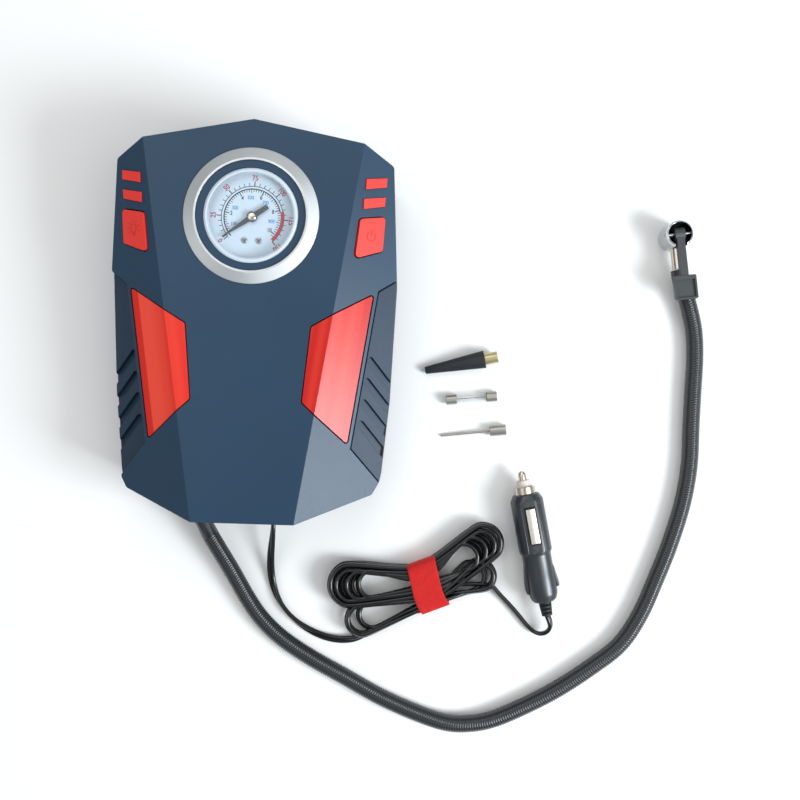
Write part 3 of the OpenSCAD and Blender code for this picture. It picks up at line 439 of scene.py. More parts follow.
# %% Passes and loops of the hank
HANK_SPOT = Vector((106, -153.5, 0))
HANK_TURN = math.radians(16)
STRAP_TURN = math.radians(6)
LANE_W, FIRST_LANE = 2.55, 12.7
ROW_Z = (4.7, 9.9)
WAIST_HALF, WAIST_LEAN = 8.5, 84.0
LOOP_POINTS, LOOP_RISE = 8, 0.4


def in_hank(x, y, z):
    """A point of the hank's own plane, whose X runs along it, as a point of the part."""
    return HANK_SPOT + Matrix.Rotation(HANK_TURN, 3, "Z") @ Vector((x, y, z))


def waist_pass(lane, row, towards):
    """Three points through the strap, in a lane and a row, towards +1 right or -1 left."""
    y, z = FIRST_LANE - LANE_W * lane, ROW_Z[row]
    across = Matrix.Rotation(STRAP_TURN, 3, "Z")
    ends = [across @ Vector((side * WAIST_HALF, y, z)) for side in (-towards, 0, towards)]
    return [(in_hank(*p), WAIST_LEAN) for p in ends]


def loop_end(centre, radius, arc, z):
    """Points round one end loop, from one angle to another, with a slight rise and fall."""
    first, last, lean = arc
    found = []
    for k in range(LOOP_POINTS):
        share = k / (LOOP_POINTS - 1)
        turn = math.radians(first + (last - first) * share)
        lift = LOOP_RISE * math.sin(math.pi * share)
        found.append((in_hank(centre[0] + radius * math.cos(turn),
                              centre[1] + radius * math.sin(turn), z + lift), lean))
    return found


print("waist:", [tuple(round(v, 1) for v in spot) for spot, lean in waist_pass(0, 0, 1)])

# %% [markdown]
# A loop over the turns now gives each pass its lane and row, and each end its radius. The loops
# nest, so a few of them share one centre and radius. A real cord is springy and hangs smoothly
# between the places that hold it. We copy that by moving each point towards the middle of its
# neighbours, a few times over.

# %% Turns of the hank
# Centre and radius of each nested loop, outermost first: the upper bundle's, then the lower's.
UPPER_LEFT = [((-46, 11.2), 13.3), ((-45.6, 10.8), 10.2), ((-40.5, 9.6), 9.0), ((-33, 8.6), 9.0)]
UPPER_RIGHT = [((39, 16), 11.6), ((37.6, 15.2), 9.0), ((31.6, 13.0), 9.0), ((25.4, 10.4), 9.0)]
LOWER_LEFT = [((-44.5, -11.5), 9.6), ((-38, -10.6), 8.8)]
LOWER_RIGHT = [((32, -3.4), 9.2), ((27, -3), 8.8)]
UPPER_TURNS, LOWER_TURNS = 7, 3
# First angle, last angle and lean of the loops at each end, in degrees.
UPPER_LEFT_ARC, UPPER_RIGHT_ARC = (72, 267, 64), (-75, 113, 68)
LOWER_LEFT_ARC, LOWER_RIGHT_ARC = (82, 287, 62), (-90, 120, 64)


def hank_turns():
    """The lower turns, then the upper ones, each: right loop, waist, left loop, waist."""
    found = waist_pass(10, 0, 1)
    for k in range(LOWER_TURNS):
        row, nest = k % 2, k // 2
        centre, radius = LOWER_RIGHT[nest]
        found += loop_end(centre, radius, LOWER_RIGHT_ARC, ROW_Z[row] - 0.8)
        found += waist_pass(8, row, -1) if nest == 0 else waist_pass(7, 0, -1)
        centre, radius = LOWER_LEFT[nest]
        found += loop_end(centre, radius, LOWER_LEFT_ARC, ROW_Z[row] - 0.6)
        found += waist_pass((9, 10, 9)[k], (0, 1, 1)[k], 1)
    for k in range(UPPER_TURNS):
        row, nest = (k + 1) % 2, k // 2
        inward = 3.0 if row == 0 else 0
        (x, y), radius = UPPER_RIGHT[nest]
        found += loop_end((x - inward, y - 0.7 * inward), radius, UPPER_RIGHT_ARC, ROW_Z[row])
        found += waist_pass(nest, row, -1)
        (x, y), radius = UPPER_LEFT[nest]
        found += loop_end((x + inward, y - 0.5 * inward), radius, UPPER_LEFT_ARC, ROW_Z[row])
        found += waist_pass(7 - nest, row, 1) if k < UPPER_TURNS - 1 else waist_pass(7, 0, 1)
    return found


def relaxed(points, rounds):
    """Lets each point drift towards the middle of its neighbours, as a springy cord does."""
    for _ in range(rounds):
        points = [points[0]] + [(a + 2 * b + c) / 4 for a, b, c in
                                zip(points, points[1:], points[2:])] + [points[-1]]
    return points


FLEX_STEPS, RELAX_ROUNDS = 4, 7
flex_route = lead_in + hank_turns() + lead_out
flex_spots, flex_leans = (relaxed(smooth_route(column, FLEX_STEPS), RELAX_ROUNDS)
                          for column in zip(*flex_route))
flex_path = [p * MM for p in flex_spots]
print("flex:", len(flex_route), "points,", round(length_of(flex_path) * 1000), "mm")

# %% [markdown]
# Its section is a figure of eight drawn as two short arcs with a groove between them. Swept along
# the route as a curve's bevel, it keeps its lean, because the curve's own up is world up and the
# lean is its tilt. The result is then settled into a plain mesh.

# %% The flat flex
CORE_POINTS, CORE_SWEEP = 14, 252


def flex_section():
    """A closed outline of two touching round cores, each an arc that leaves the groove open."""
    core, reach = FLEX_T / 2, FLEX_W / 2 - FLEX_T / 2
    points = []
    for side in (1, -1):
        for k in range(CORE_POINTS):
            turn = math.radians(CORE_SWEEP * (k / (CORE_POINTS - 1) - 0.5))
            points.append(Vector((side * (reach + core * math.cos(turn)),
                                  side * core * math.sin(turn), 0)) * MM)
    return points


section = line_curve("flex_section", flex_section())
section.data.dimensions = "2D"
section.data.splines[0].use_cyclic_u = True
flex_line = line_curve("flex_line", flex_path, [math.radians(lean) for lean in flex_leans])
flex_line.data.twist_mode = "Z_UP"
flex_line.data.bevel_mode = "OBJECT"
flex_line.data.bevel_object = section
flex_line.data.use_fill_caps = True
flex = settled_mesh(flex_line, "power_cord_flex")
discard(section, flex_line)
closed_ends(flex)
pvc = finish("glossy_black_pvc", "#08090A", "#0E1012", 0.22, 2.5, 0.03, drift_mm=30,
             Coat_Weight=0.2, Coat_Roughness=0.1, IOR=1.5)
placed(flex, "inflator", "wire_black", pvc, "cord_lead", "cord_hank", "plug_lead")
print("flex mesh:", len(flex.data.polygons), "faces")

# %% [markdown]
# The strap is a red hook and loop tape, 18 mm wide, wrapped once round the waist with its end
# laid back over itself. We draw the wrap as a path in the strap's upright plane, extrude a row of
# edges along it, and let Solidify give the tape its thickness. The path is a squarish oval. Over
# its last steps it climbs by the tape's own thickness and shifts sideways, to lie on its start.
# An oval is about 5 per cent shorter round than its box, which gives the tape's flat length.

# %% The strap round the hank
STRAP_W = 18.0
STRAP_THICK = 1.0
WRAP_W, WRAP_H, WRAP_MID = 28.6, 12.4, 7.9
SQUARENESS = 2 / 5
COLUMNS, WRAP_STEPS, LAP_STEPS, CLIMB_STEPS = 8, 64, 15, 10
FIRST_TURN = 0.16
SLACK, LAP_LIFT, LAP_SHIFT, SLANT = 0.2, 1.25, 2.6, 0.13


def wrap_point(turns, grow):
    """A point of the wrap, in turns round it from the middle of the top, as (across, height)."""
    angle = math.pi / 2 + math.tau * turns
    c, s = math.cos(angle), math.sin(angle)
    across = math.copysign(abs(c) ** SQUARENESS, c) * (WRAP_W / 2 + grow)
    return across, WRAP_MID + math.copysign(abs(s) ** SQUARENESS, s) * (WRAP_H / 2 + grow)


def strap_shape():
    """A row of edges across the tape, extruded round the wrap and on over its own start."""
    shape = bmesh.new()
    row = [shape.verts.new((STRAP_W * (k / COLUMNS - 0.5), 0, 0)) for k in range(COLUMNS + 1)]
    rim = [shape.edges.new(pair) for pair in zip(row, row[1:])]
    strap_turn = Matrix.Rotation(STRAP_TURN, 3, "Z")

    def lay(verts, step):
        over = max(0.0, min(1.0, (step - WRAP_STEPS) / CLIMB_STEPS + 1))
        across, height = wrap_point(FIRST_TURN + step / WRAP_STEPS, SLACK + LAP_LIFT * over)
        skew = LAP_SHIFT * (over - 0.5) + SLANT * across
        for k, vert in enumerate(verts):
            x = STRAP_W * (k / COLUMNS - 0.5) + skew
            vert.co = in_hank(*(strap_turn @ Vector((x, across, height)))) * MM

    lay(row, 0)
    for step in range(1, WRAP_STEPS + LAP_STEPS):
        grown = bmesh.ops.extrude_edge_only(shape, edges=rim)["geom"]
        rim = [g for g in grown if isinstance(g, bmesh.types.BMEdge)]
        lay([g for g in grown if isinstance(g, bmesh.types.BMVert)], step)
    bmesh.ops.recalc_face_normals(shape, faces=shape.faces)
    return shape


strap = as_object(strap_shape(), "hook_and_loop_strap")
thick = strap.modifiers.new("tape", "SOLIDIFY")
thick.thickness = STRAP_THICK * MM
thick.offset = 0
edge = strap.modifiers.new("soft_edge", "BEVEL")
edge.width, edge.segments, edge.limit_method = 0.3 * MM, 2, "ANGLE"
print("strap faces:", len(strap.data.polygons))

# %% [markdown]
# Hook and loop tape is a nylon cloth whose face is a mat of tiny loops. It scatters light like
# felt, so it gets a strong sheen, a loose fuzzy bump at half a millimetre, and almost no gloss.

# %% Strap finish and its body
loop_tape = finish("red_nylon_loop_tape", "#CE1512", "#B40F0F", 0.85, 0.8, 0.35, drift_mm=5,
                   Sheen_Weight=0.35, Sheen_Roughness=0.4, Sheen_Tint=linear("#FF8A80"))
placed(strap, "inflator", "strap_red", loop_tape, "cord_strap")

# %% [markdown]
# The body is two mouldings of navy ABS, the tough plastic of most tool cases. Its cavity was
# spark eroded, so the front has a fine satin grain and the back, less polished, a duller one. The
# construction already has their true shape, so those pieces stay and only take a finish here.
# Where they meet there is a hair of a gap, and the shadow in it is painted as a thin dark line at
# its height. A low specular level keeps the wide flat front from washing out under a bright
# ceiling.

# %% Body mouldings
def dress(material, *names):
    """Gives frame nodes a finish. Their shape and place stay as they are."""
    for name in names:
        nodes[name].data.materials.clear()
        nodes[name].data.materials.append(material)
    return material


PARTING_Z = 40
SEAM_W = 0.3
navy_front = dress(finish("satin_navy_abs", "#123A54", "#0F3049", 0.42, 0.5, 0.018, drift_mm=60,
                          Specular_IOR_Level=0.42, IOR=1.53), "front_cover")
navy_rear = dress(finish("grained_navy_abs", "#14324A", "#102A3E", 0.5, 0.6, 0.05, drift_mm=45,
                         Specular_IOR_Level=0.4, IOR=1.53), "rear_case")


def seamed(material, height, width):
    """Paints the gap's shadow as a narrow dark line round a moulding at its seam's height."""
    tree, shader, body = opened(material)
    place = add(tree, "SeparateXYZ", {"Vector": add(tree, "TexCoord").outputs["Object"]})
    above = add(tree, "Math", {0: place.outputs["Z"], 1: height}, operation="SUBTRACT")
    off = add(tree, "Math", {0: above.outputs[0]}, operation="ABSOLUTE")
    clear = add(tree, "MapRange", {"Value": off.outputs[0], "From Min": width * 0.4,
                                   "From Max": width}, interpolation_type="SMOOTHSTEP")
    # The near-black line is painted shadow of the gap between the two mouldings.
    mixed = add(tree, "Mix", {"Factor": clear.outputs["Result"], "A": linear("#050B11"),
                              "B": body}, data_type="RGBA")
    fill(shader, {"Base Color": mixed.outputs["Result"]})


for moulding in (navy_front, navy_rear):
    seamed(moulding, PARTING_Z * MM, SEAM_W * MM)

# %% [markdown]
# Rubber, steel, brass and the rest are kept as a list: each row says what the finish is, how it
# was made, and the nodes that have it. Metals get their colour from metallic 1, and their grain
# is stretched the way the tool ran: rings for a turned part are too fine to see, so a drawn streak
# is enough. Plated parts tumbled in a barrel are duller than the ones hung in the bath.

# %% Finishes of the plain parts
dress(finish("moulded_black_rubber", "#16181A", "#1D1F22", 0.62, 0.35, 0.04, drift_mm=9),
      "rubber_feet", "piston_seal", "hose_gland", "cord_grommet", "chuck_seal",
      "plug_strain_relief")
dress(finish("vacuum_metallised_plastic", "#D9DCDD", "#C9CDD0", 0.16, 1.5, 0.02, metallic=1.0),
      "lamp_reflectors")
dress(finish("lacquered_circuit_board", "#2C7A4B", "#23663E", 0.28, 0.5, 0.03, drift_mm=5,
             Coat_Weight=0.5, Coat_Roughness=0.15), "lamp_boards", "switch_boards")
dress(finish("satin_black_nylon", "#202326", "#191B1E", 0.42, 0.4, 0.03, drift_mm=12),
      "push_switches", "gauge_case", "motor_end_cap")
dress(finish("drawn_plated_steel", "#A9ADAF", "#999EA2", 0.3, 0.3, 0.015, metallic=1.0,
             stretch=(1, 0.12, 1)), "motor_can")
dress(finish("enamelled_copper_winding", "#9A5A2C", "#7E4620", 0.35, 0.5, 0.08, metallic=0.7,
             stretch=(1, 0.3, 3), Coat_Weight=0.6), "motor_rotor")
dress(finish("natural_nylon", "#E3DFD2", "#D8D2C2", 0.4, 0.6, 0.02, drift_mm=10,
             Subsurface_Weight=0.1), "crank_gear")
dress(finish("ground_steel", "#B9BCBE", "#A7ABAE", 0.2, 0.2, 0.006, metallic=1.0,
             stretch=(6, 1, 6)), "crank_shaft", "lever_pin")
dress(finish("pressed_zinc_steel", "#A5A9AB", "#93989C", 0.36, 1.2, 0.02, metallic=1.0),
      "pump_frame")
dress(finish("cast_aluminium", "#BFC2C4", "#ABAFB2", 0.42, 0.8, 0.06, metallic=1.0),
      "pump_cylinder", "piston", "cylinder_head")
dress(finish("clear_silicone", "#D9DEDC", "#CBD2D0", 0.3, 1.0, 0.02, Transmission_Weight=0.5,
             Alpha=0.75), "pump_tube", "outlet_tube")
dress(finish("barrel_plated_nickel", "#B8B5AF", "#A5A29B", 0.36, 0.3, 0.015, metallic=0.95,
             drift_mm=3), "fuse_caps", "ball_needle")
dress(finish("rolled_spring_nickel", "#EFEBE2", "#E4DFD5", 0.3, 0.3, 0.008, metallic=0.8,
             drift_mm=6, stretch=(1, 0.15, 1)), "plug_contacts")
dress(finish("cream_urea_insulator", "#DCD2CC", "#CFC3BC", 0.5, 0.4, 0.02), "plug_insulator")
dress(pvc, "supply_wires")
zinc = dress(finish("zinc_plated_steel", "#B4B8BA", "#9BA1A6", 0.3, 0.3, 0.01, metallic=1.0,
                    drift_mm=3), "case_screws")
dress(finish("turned_brass", "#CFC49A", "#BFB285", 0.4, 0.25, 0.01, metallic=1.0, drift_mm=6,
             stretch=(1, 6, 1)),
      "gauge_movement", "bourdon_tube", "gauge_stem", "drive_pinion", "crank_bush", "nozzle_stub")
nickel = dress(finish("nickel_plated_brass", "#D6CFC0", "#C3BAAA", 0.22, 1.6, 0.008,
                      metallic=1.0, drift_mm=4), "hose_ferrule", "plug_tip", "plug_ring")
print("finishes so far:", len(bpy.data.materials))

# %% [markdown]
# The lamps, buttons and trim bars are all red, but they don't look alike. A lamp lens is clear
# red polycarbonate over a reflector, so it glows from inside. Light from the reflector's long
# flutes is painted on as soft lighter stripes, a painted reflection, and the lens is a deeper red
# along its outer edge, over its flange, outside the painted highlight. Both follow the distance
# from that edge, and so does the change of colour where the lens folds from the sloped wing to the
# flat
# front: the wing's lighter, pinker red is a painted highlight and the front's darker red is painted
# shade. The two lenses share one recipe, and the left one is given lighter reds than the right, as
# painted light. The buttons and bars are solid red ABS with a satin grain.

# %% Red lamps, buttons and bars
LENS_ACROSS = Vector((0.9895, -0.1445, 0))
LENS_EDGE = 65.74
FLANGE_ENDS = (4.3, 5.0)
FOLD_ENDS = (9, 25)
FLUTE_PITCH = 7.5
FLUTE_REFLECTION_SHARE = 0.25


def lamp_plastic(name, flange_red, lit_wing_red, shaded_front_red):
    """Clear red plastic with a deep flange and painted highlight, shade and flute reflections."""
    material = finish(name, lit_wing_red, lit_wing_red, 0.3, 0.5, 0.002, drift_mm=30,
                      Specular_IOR_Level=0.3, IOR=1.58)
    tree, shader, body = opened(material)
    place = add(tree, "TexCoord").outputs["Object"]
    mirrored = add(tree, "VectorMath", {0: place}, operation="ABSOLUTE")
    apart = add(tree, "SeparateXYZ", {"Vector": place})
    halves = add(tree, "SeparateXYZ", {"Vector": mirrored.outputs[0]})
    both = add(tree, "CombineXYZ", {"X": halves.outputs["X"], "Y": apart.outputs["Y"]})
    across = add(tree, "VectorMath", {0: both.outputs[0], 1: LENS_ACROSS},
                 operation="DOT_PRODUCT")
    inward = add(tree, "Math", {0: LENS_EDGE * MM, 1: across.outputs["Value"]},
                 operation="SUBTRACT")
    phase = add(tree, "Math", {0: inward.outputs[0], 1: math.tau / (FLUTE_PITCH * MM)},
                operation="MULTIPLY")
    wave = add(tree, "Math", {0: phase.outputs[0]}, operation="SINE")
    flute_reflection = add(tree, "MapRange", {"Value": wave.outputs[0], "From Min": -1.0, "From Max": 1.0,
                                   "To Max": FLUTE_REFLECTION_SHARE})
    fold, flange = (add(tree, "MapRange", {"Value": inward.outputs[0], "From Min": start * MM,
                                           "From Max": end * MM},
                        interpolation_type="SMOOTHSTEP").outputs["Result"]
                    for start, end in (FOLD_ENDS, FLANGE_ENDS))
    folded = add(tree, "Mix", {"Factor": fold, "A": body, "B": linear(shaded_front_red)},
                 data_type="RGBA")
    # The lighter red stripes are a painted reflection of the reflector's flutes.
    flute_reflected = add(tree, "Mix", {"Factor": flute_reflection.outputs["Result"], "A": folded.outputs["Result"],
                               "B": linear("#EE4C38")}, data_type="RGBA")
    edged = add(tree, "Mix", {"Factor": flange, "A": linear(flange_red),
                              "B": flute_reflected.outputs["Result"]}, data_type="RGBA")
    fill(shader, {"Base Color": edged.outputs["Result"]})
    return material


# The left lens gets lighter reds than the right: painted light, not a different plastic.
dress(lamp_plastic("clear_red_polycarbonate_painted_lighter_left", "#D42413", "#F44C36", "#DA2210"),
      "left_lamp_lens")
dress(lamp_plastic("clear_red_polycarbonate_painted_darker_right", "#BE0E03", "#D01E0E", "#B9130A"),
      "right_lamp_lens")
dress(finish("satin_red_abs", "#EA3529", "#E22F25", 0.4, 0.35, 0.025, drift_mm=20),
      "trim_bars", "light_button", "power_button")

# %% [markdown]
# Each button carries a plain sign: a bulb with rays on the lamp's button, and the ring and bar of
# the common power sign on the other. Both are drawn flat in millimetres, then laid on the button.
# A ring or an arc is one short edge turned round a centre with spin, and a ray is a grid of one
# cell. The right wing's own frame is a corner, a turn and a tilt; the left one is its mirror.

# %% Helpers for flat marks
def turned(degrees, axis="Z"):
    """A matrix that turns by so many degrees about an axis."""
    return Matrix.Rotation(math.radians(degrees), 4, axis)


def arc_band(shape, centre, inner, outer, start, sweep, steps=48):
    """A flat curved band: an edge across it, spun round the centre. Angles are in degrees."""
    turn = math.radians(start)
    out = Vector((math.cos(turn), math.sin(turn), 0))
    middle = Vector((centre[0], centre[1], 0))
    ends = [shape.verts.new(middle + out * r) for r in (inner, outer)]
    across = shape.edges.new(ends)
    bmesh.ops.spin(shape, geom=ends + [across], cent=middle, axis=(0, 0, 1),
                   angle=math.radians(sweep), steps=steps, use_merge=abs(sweep) == 360)


def stroke(shape, middle, length, width, turn):
    """A flat straight mark of a length and a width, turned from the X axis in degrees."""
    lay = (Matrix.Translation((middle[0], middle[1], 0)) @ turned(turn)
           @ Matrix.Diagonal((length, width, 1, 1)))
    bmesh.ops.create_grid(shape, x_segments=1, y_segments=1, size=0.5, matrix=lay)


def into_place(shape, place):
    """Moves a shape from millimetres to its place, turned back if the place mirrors it."""
    bmesh.ops.transform(shape, matrix=place @ Matrix.Scale(MM, 4), verts=shape.verts)
    if place.determinant() < 0:
        bmesh.ops.reverse_faces(shape, faces=shape.faces)


def flat_mark(shape, name, place, thick_mm):
    """Lays a flat drawing in millimetres at its place, as a thin solid object."""
    into_place(shape, place)
    bmesh.ops.remove_doubles(shape, verts=shape.verts, dist=0.000002)
    mark = as_object(shape, name)
    mark.data.shade_flat()
    wall = mark.modifiers.new("thickness", "SOLIDIFY")
    wall.thickness, wall.offset = thick_mm * MM, 1
    return mark


print("a quarter turn:", [tuple(round(v) for v in row) for row in turned(90).to_3x3()])

# %% [markdown]
# The signs are moulded a tenth of a millimetre proud and catch shadow round them. They ride on
# the buttons, so they go down when the buttons are pressed.

# %% Signs on the two buttons
WING_CORNER = Vector((61.4, 99.9, 70)) * MM
WING_TURN, WING_TILT = -8.8, 30
BUTTON_MIDDLE = (13.87, -48.84, 1.2)
RELIEF = 0.1
wing_frame = Matrix.Translation(WING_CORNER) @ turned(WING_TURN) @ turned(WING_TILT, "Y")
button_face = wing_frame @ Matrix.Translation(Vector(BUTTON_MIDDLE) * MM)
left_side = Matrix.Scale(-1, 4, (1, 0, 0))


def power_sign():
    """A broken ring with an upright bar in its gap."""
    shape = bmesh.new()
    arc_band(shape, (0, 0), 2.35, 2.8, 125, 290, 36)
    stroke(shape, (0, 2.1), 2.6, 0.5, 90)
    return shape


def bulb_sign():
    """A bulb in outline on two bars, with seven rays round it."""
    shape = bmesh.new()
    arc_band(shape, (0, 0.6), 2.0, 2.4, -52, 284, 36)
    for side in (-1, 1):
        stroke(shape, (side * 0.95, -1.9), 1.2, 0.38, 90 + 14 * side)
    for y in (-2.6, -3.3):
        stroke(shape, (0, y), 1.7, 0.4, 0)
    for k in range(7):
        turn = -30 + 40 * k
        away = Vector((math.cos(math.radians(turn)), math.sin(math.radians(turn))))
        stroke(shape, (4.0 * away.x, 0.6 + 4.0 * away.y), 1.3, 0.4, turn)
    return shape


sign_red = finish("red_abs_in_relief", "#BE2722", "#B4221E", 0.5, 0.35, 0.02, drift_mm=10)
power_mark = flat_mark(power_sign(), "power_button_sign", button_face, RELIEF)
placed(power_mark, "power_button", "button_red", sign_red)
bulb_mark = flat_mark(bulb_sign(), "light_button_sign", left_side @ button_face, RELIEF)
placed(bulb_mark, "light_button", "button_red", sign_red)

# %% [markdown]
# The gauge is the part people look at. Its ring was turned and lacquered silver, and the fine
# rings of the tool fan the light out towards the lamps, which an anisotropic gloss gives when
# its tangent runs round the ring. The dial is white enamel with a cool cast, and its window is
# clear polystyrene. Real glass in a path tracer darkens what is behind it, so the window is a thin
# clear skin: mostly transparent, with a sharp gloss on top, and near white and opaque at its rim,
# which is a painted highlight of the lens's curved edge.

# %% Gauge ring, dial and window
GAUGE = Vector((0, 58, 0)) * MM
WINDOW_RIM = (22.9, 25.2)
CLEAR_ALPHA, RIM_HIGHLIGHT_ALPHA = 0.04, 0.82
silver = dress(finish("satin_silver_lacquer", "#D6DADB", "#CCD1D2", 0.4, 0.2, 0.01, drift_mm=25,
                      metallic=0.85, edge_mm=0.45, Anisotropic=0.65), "gauge_ring")
ring_tree, ring_shader = opened(silver)[:2]
ring_place = add(ring_tree, "TexCoord").outputs["Object"]
spoke = add(ring_tree, "VectorMath", {0: ring_place, 1: GAUGE}, operation="SUBTRACT")
round_ring = add(ring_tree, "VectorMath", {0: (0, 0, 1), 1: spoke.outputs[0]},
                 operation="CROSS_PRODUCT")
fill(ring_shader, {"Tangent": round_ring.outputs[0]})
dress(finish("white_dial_enamel", "#C9DAE8", "#C2D4E3", 0.45, 0.4, 0.005, drift_mm=40),
      "gauge_dial")


def clear_window(name):
    """Clear plastic, whiter and more opaque over its rim as a painted highlight."""
    material, tree, shader = blank(name)
    # The whiter, more opaque rim is a painted highlight of the lens's curved edge.
    rim = add(tree, "MapRange", {"Value": off_axis(tree, GAUGE), "From Min": WINDOW_RIM[0] * MM,
                                 "From Max": WINDOW_RIM[1] * MM, "To Min": CLEAR_ALPHA,
                                 "To Max": RIM_HIGHLIGHT_ALPHA}, interpolation_type="SMOOTHSTEP")
    fill(shader, {"Alpha": rim.outputs["Result"], "Base Color": linear("#DCE9F5"),
                  "Roughness": 0.05, "IOR": 1.59})
    return material


dress(clear_window("clear_gauge_window"), "gauge_lens")

# %% [markdown]
# The dial is printed in three inks. Two scales share one sweep of the needle: the outer runs to
# 150 and the inner to 10. Each scale turns a reading into an angle with one line of arithmetic.
# Numbers come from Blender's own font, a little narrowed, made into mesh and added to the same
# drawing as the ticks.

# %% Dial scales and numbers
OUTER_R, INNER_R = 17.4, 15.7
NARROWING = 0.82


def outer_angle(reading):
    """Degrees round the dial for the outer scale, which ends at 150."""
    return 223.4 - 1.816 * reading


def inner_angle(reading):
    """Degrees round the dial for the inner scale, which ends a little past 10."""
    return 222.0 - 25.8 * reading


def at_radius(radius, turn):
    """A point of the dial, from its radius and its angle in degrees."""
    return (radius * math.cos(math.radians(turn)), radius * math.sin(math.radians(turn)))


def number(shape, text, middle, height, turn=0.0):
    """Adds a printed number to a flat drawing, centred on its middle."""
    curve = bpy.data.curves.new("number", "FONT")
    curve.body, curve.size = text, height * 1.4
    curve.align_x, curve.align_y = "CENTER", "CENTER"
    curve.offset = 0.03 * height
    typed = linked("number", curve)
    flat = settled_mesh(typed, "flat_number")
    flat.data.transform(Matrix.Translation((middle[0], middle[1], 0)) @ turned(turn)
                        @ Matrix.Diagonal((NARROWING, 1, 1, 1)))
    shape.from_mesh(flat.data)
    discard(flat, typed)


print("the outer scale runs from", outer_angle(0), "to", round(outer_angle(150), 1), "degrees")

# %% [markdown]
# Each ink is one flat drawing with its middle at the needle. First come the arcs, then a loop over
# each scale's readings draws its ticks, long and bold at the numbered ones, and then its numbers.
# The finished drawings are laid on the dial as solids three hundredths of a millimetre thick.

# %% Dial printing
DIAL_TOP = 66.0
INK_T = 0.03
FINE_TICK, BOLD_TICK = 0.36, 0.55
black_ink, red_ink, blue_ink = bmesh.new(), bmesh.new(), bmesh.new()
arc_band(black_ink, (0, 0), 17.0, OUTER_R, 12, 203, 96)
arc_band(black_ink, (0, 0), 15.4, 16.05, 12, 210, 96)
arc_band(red_ink, (0, 0), 15.8, 17.9, 12, -60, 40)
for reading in range(10, 151, 5):
    turn = outer_angle(reading)
    long, width = (2.6, BOLD_TICK) if reading % 25 == 0 else (1.7, FINE_TICK)
    stroke(black_ink, at_radius(OUTER_R + long / 2, turn), long, width, turn)
for turn in (215.5, 219.5):
    stroke(black_ink, at_radius(18.4, turn), 3.2, 0.45, turn)
for step in range(2, 52):
    turn = inner_angle(step / 5)
    long, width = (2.7, BOLD_TICK) if step % 10 == 0 else (2.1 if step % 5 == 0 else 1.5, FINE_TICK)
    stroke(black_ink, at_radius(INNER_R - long / 2, turn), long, width, turn)
for reading in range(25, 151, 25):
    turn = outer_angle(reading)
    number(red_ink, str(reading), at_radius(21.7, turn), 2.9, turn - 90)
number(red_ink, "0", at_radius(21.9, 217.6), 2.7, 127.6)
for reading in (2, 4, 6, 8, 10):
    turn = inner_angle(reading)
    number(black_ink, str(reading), at_radius(11.9, turn), 2.3)
for reading, turn in ((100, 201), (300, 153), (500, 96), (700, 49), (900, -11)):
    number(blue_ink, str(reading), at_radius(10.9, turn), 2.1)

dial_place = Matrix.Translation(GAUGE + Vector((0, 0, (DIAL_TOP + 0.02) * MM)))
for shape, ink, colour in ((black_ink, "black", "#14181C"), (red_ink, "red", "#AE1A34"),
                           (blue_ink, "blue", "#3A8FD0")):
    printed = flat_mark(shape, "dial_print_" + ink, dial_place, INK_T)
    inked = finish(ink + "_dial_ink", colour, colour, 0.5, 0.3, 0.002, edge_mm=0.01)
    placed(printed, "inflator", "dial_face", inked)
print("dial print:", len(printed.data.polygons), "faces of blue")

# %% [markdown]
# A turned part is drawn as half its section, in radius and height, and spun all the way round.
# That is how a lathe sees it, and it suits the cap of the needle, the screw heads and the plug.

# %% Turned shapes
SPIN_STEPS = 48


def spun(profile, steps=SPIN_STEPS):
    """A bmesh of a section, as (radius, height) in millimetres, spun round Z and closed."""
    shape = bmesh.new()
    line = [shape.verts.new((r, 0, z)) for r, z in profile]
    edges = [shape.edges.new(pair) for pair in zip(line, line[1:])]
    bmesh.ops.spin(shape, geom=line + edges, cent=(0, 0, 0), axis=(0, 0, 1), angle=math.tau,
                   steps=steps, use_merge=True)
    bmesh.ops.remove_doubles(shape, verts=shape.verts, dist=0.001)
    bmesh.ops.recalc_face_normals(shape, faces=shape.faces)
    return shape


def soften(shape, offset, segments):
    """Rounds every edge of a shape."""
    bmesh.ops.bevel(shape, geom=shape.edges[:], offset=offset, segments=segments, affect="EDGES",
                    profile=0.5, material=-1, clamp_overlap=True)


def set_down(shape, name, place, sharp=35):
    """Moves a shape from millimetres to its place, smooth except past an angle in degrees."""
    into_place(shape, place)
    thing = as_object(shape, name)
    thing.data.set_sharp_from_angle(angle=math.radians(sharp))
    return thing


print("a full spin has", 360 / SPIN_STEPS, "degrees to a step")

# %% [markdown]
# The needle is stamped and painted near black, and a small bright cap is pressed over its hub.
# Two cross-head screws hold the dial. Each is a domed head 3.5 mm across, and the shade in its
# sunk cross is painted as two dark bars that lie in the dome.

# %% Needle, hub cap and dial screws
painted_black = dress(finish("painted_black_needle", "#2B3034", "#23272B", 0.38, 0.3, 0.004),
                      "gauge_needle")
hub = spun([(0, 0.55), (0.5, 0.55), (0.7, 0.48), (1.5, 0.46), (2.1, 0.34), (2.35, 0.1),
            (2.35, 0), (0, 0)])
hub_cap = set_down(hub, "needle_hub_cap", Matrix.Translation(GAUGE + Vector((0, 0, 68.3)) * MM))
placed(hub_cap, "needle", "nickel", nickel)

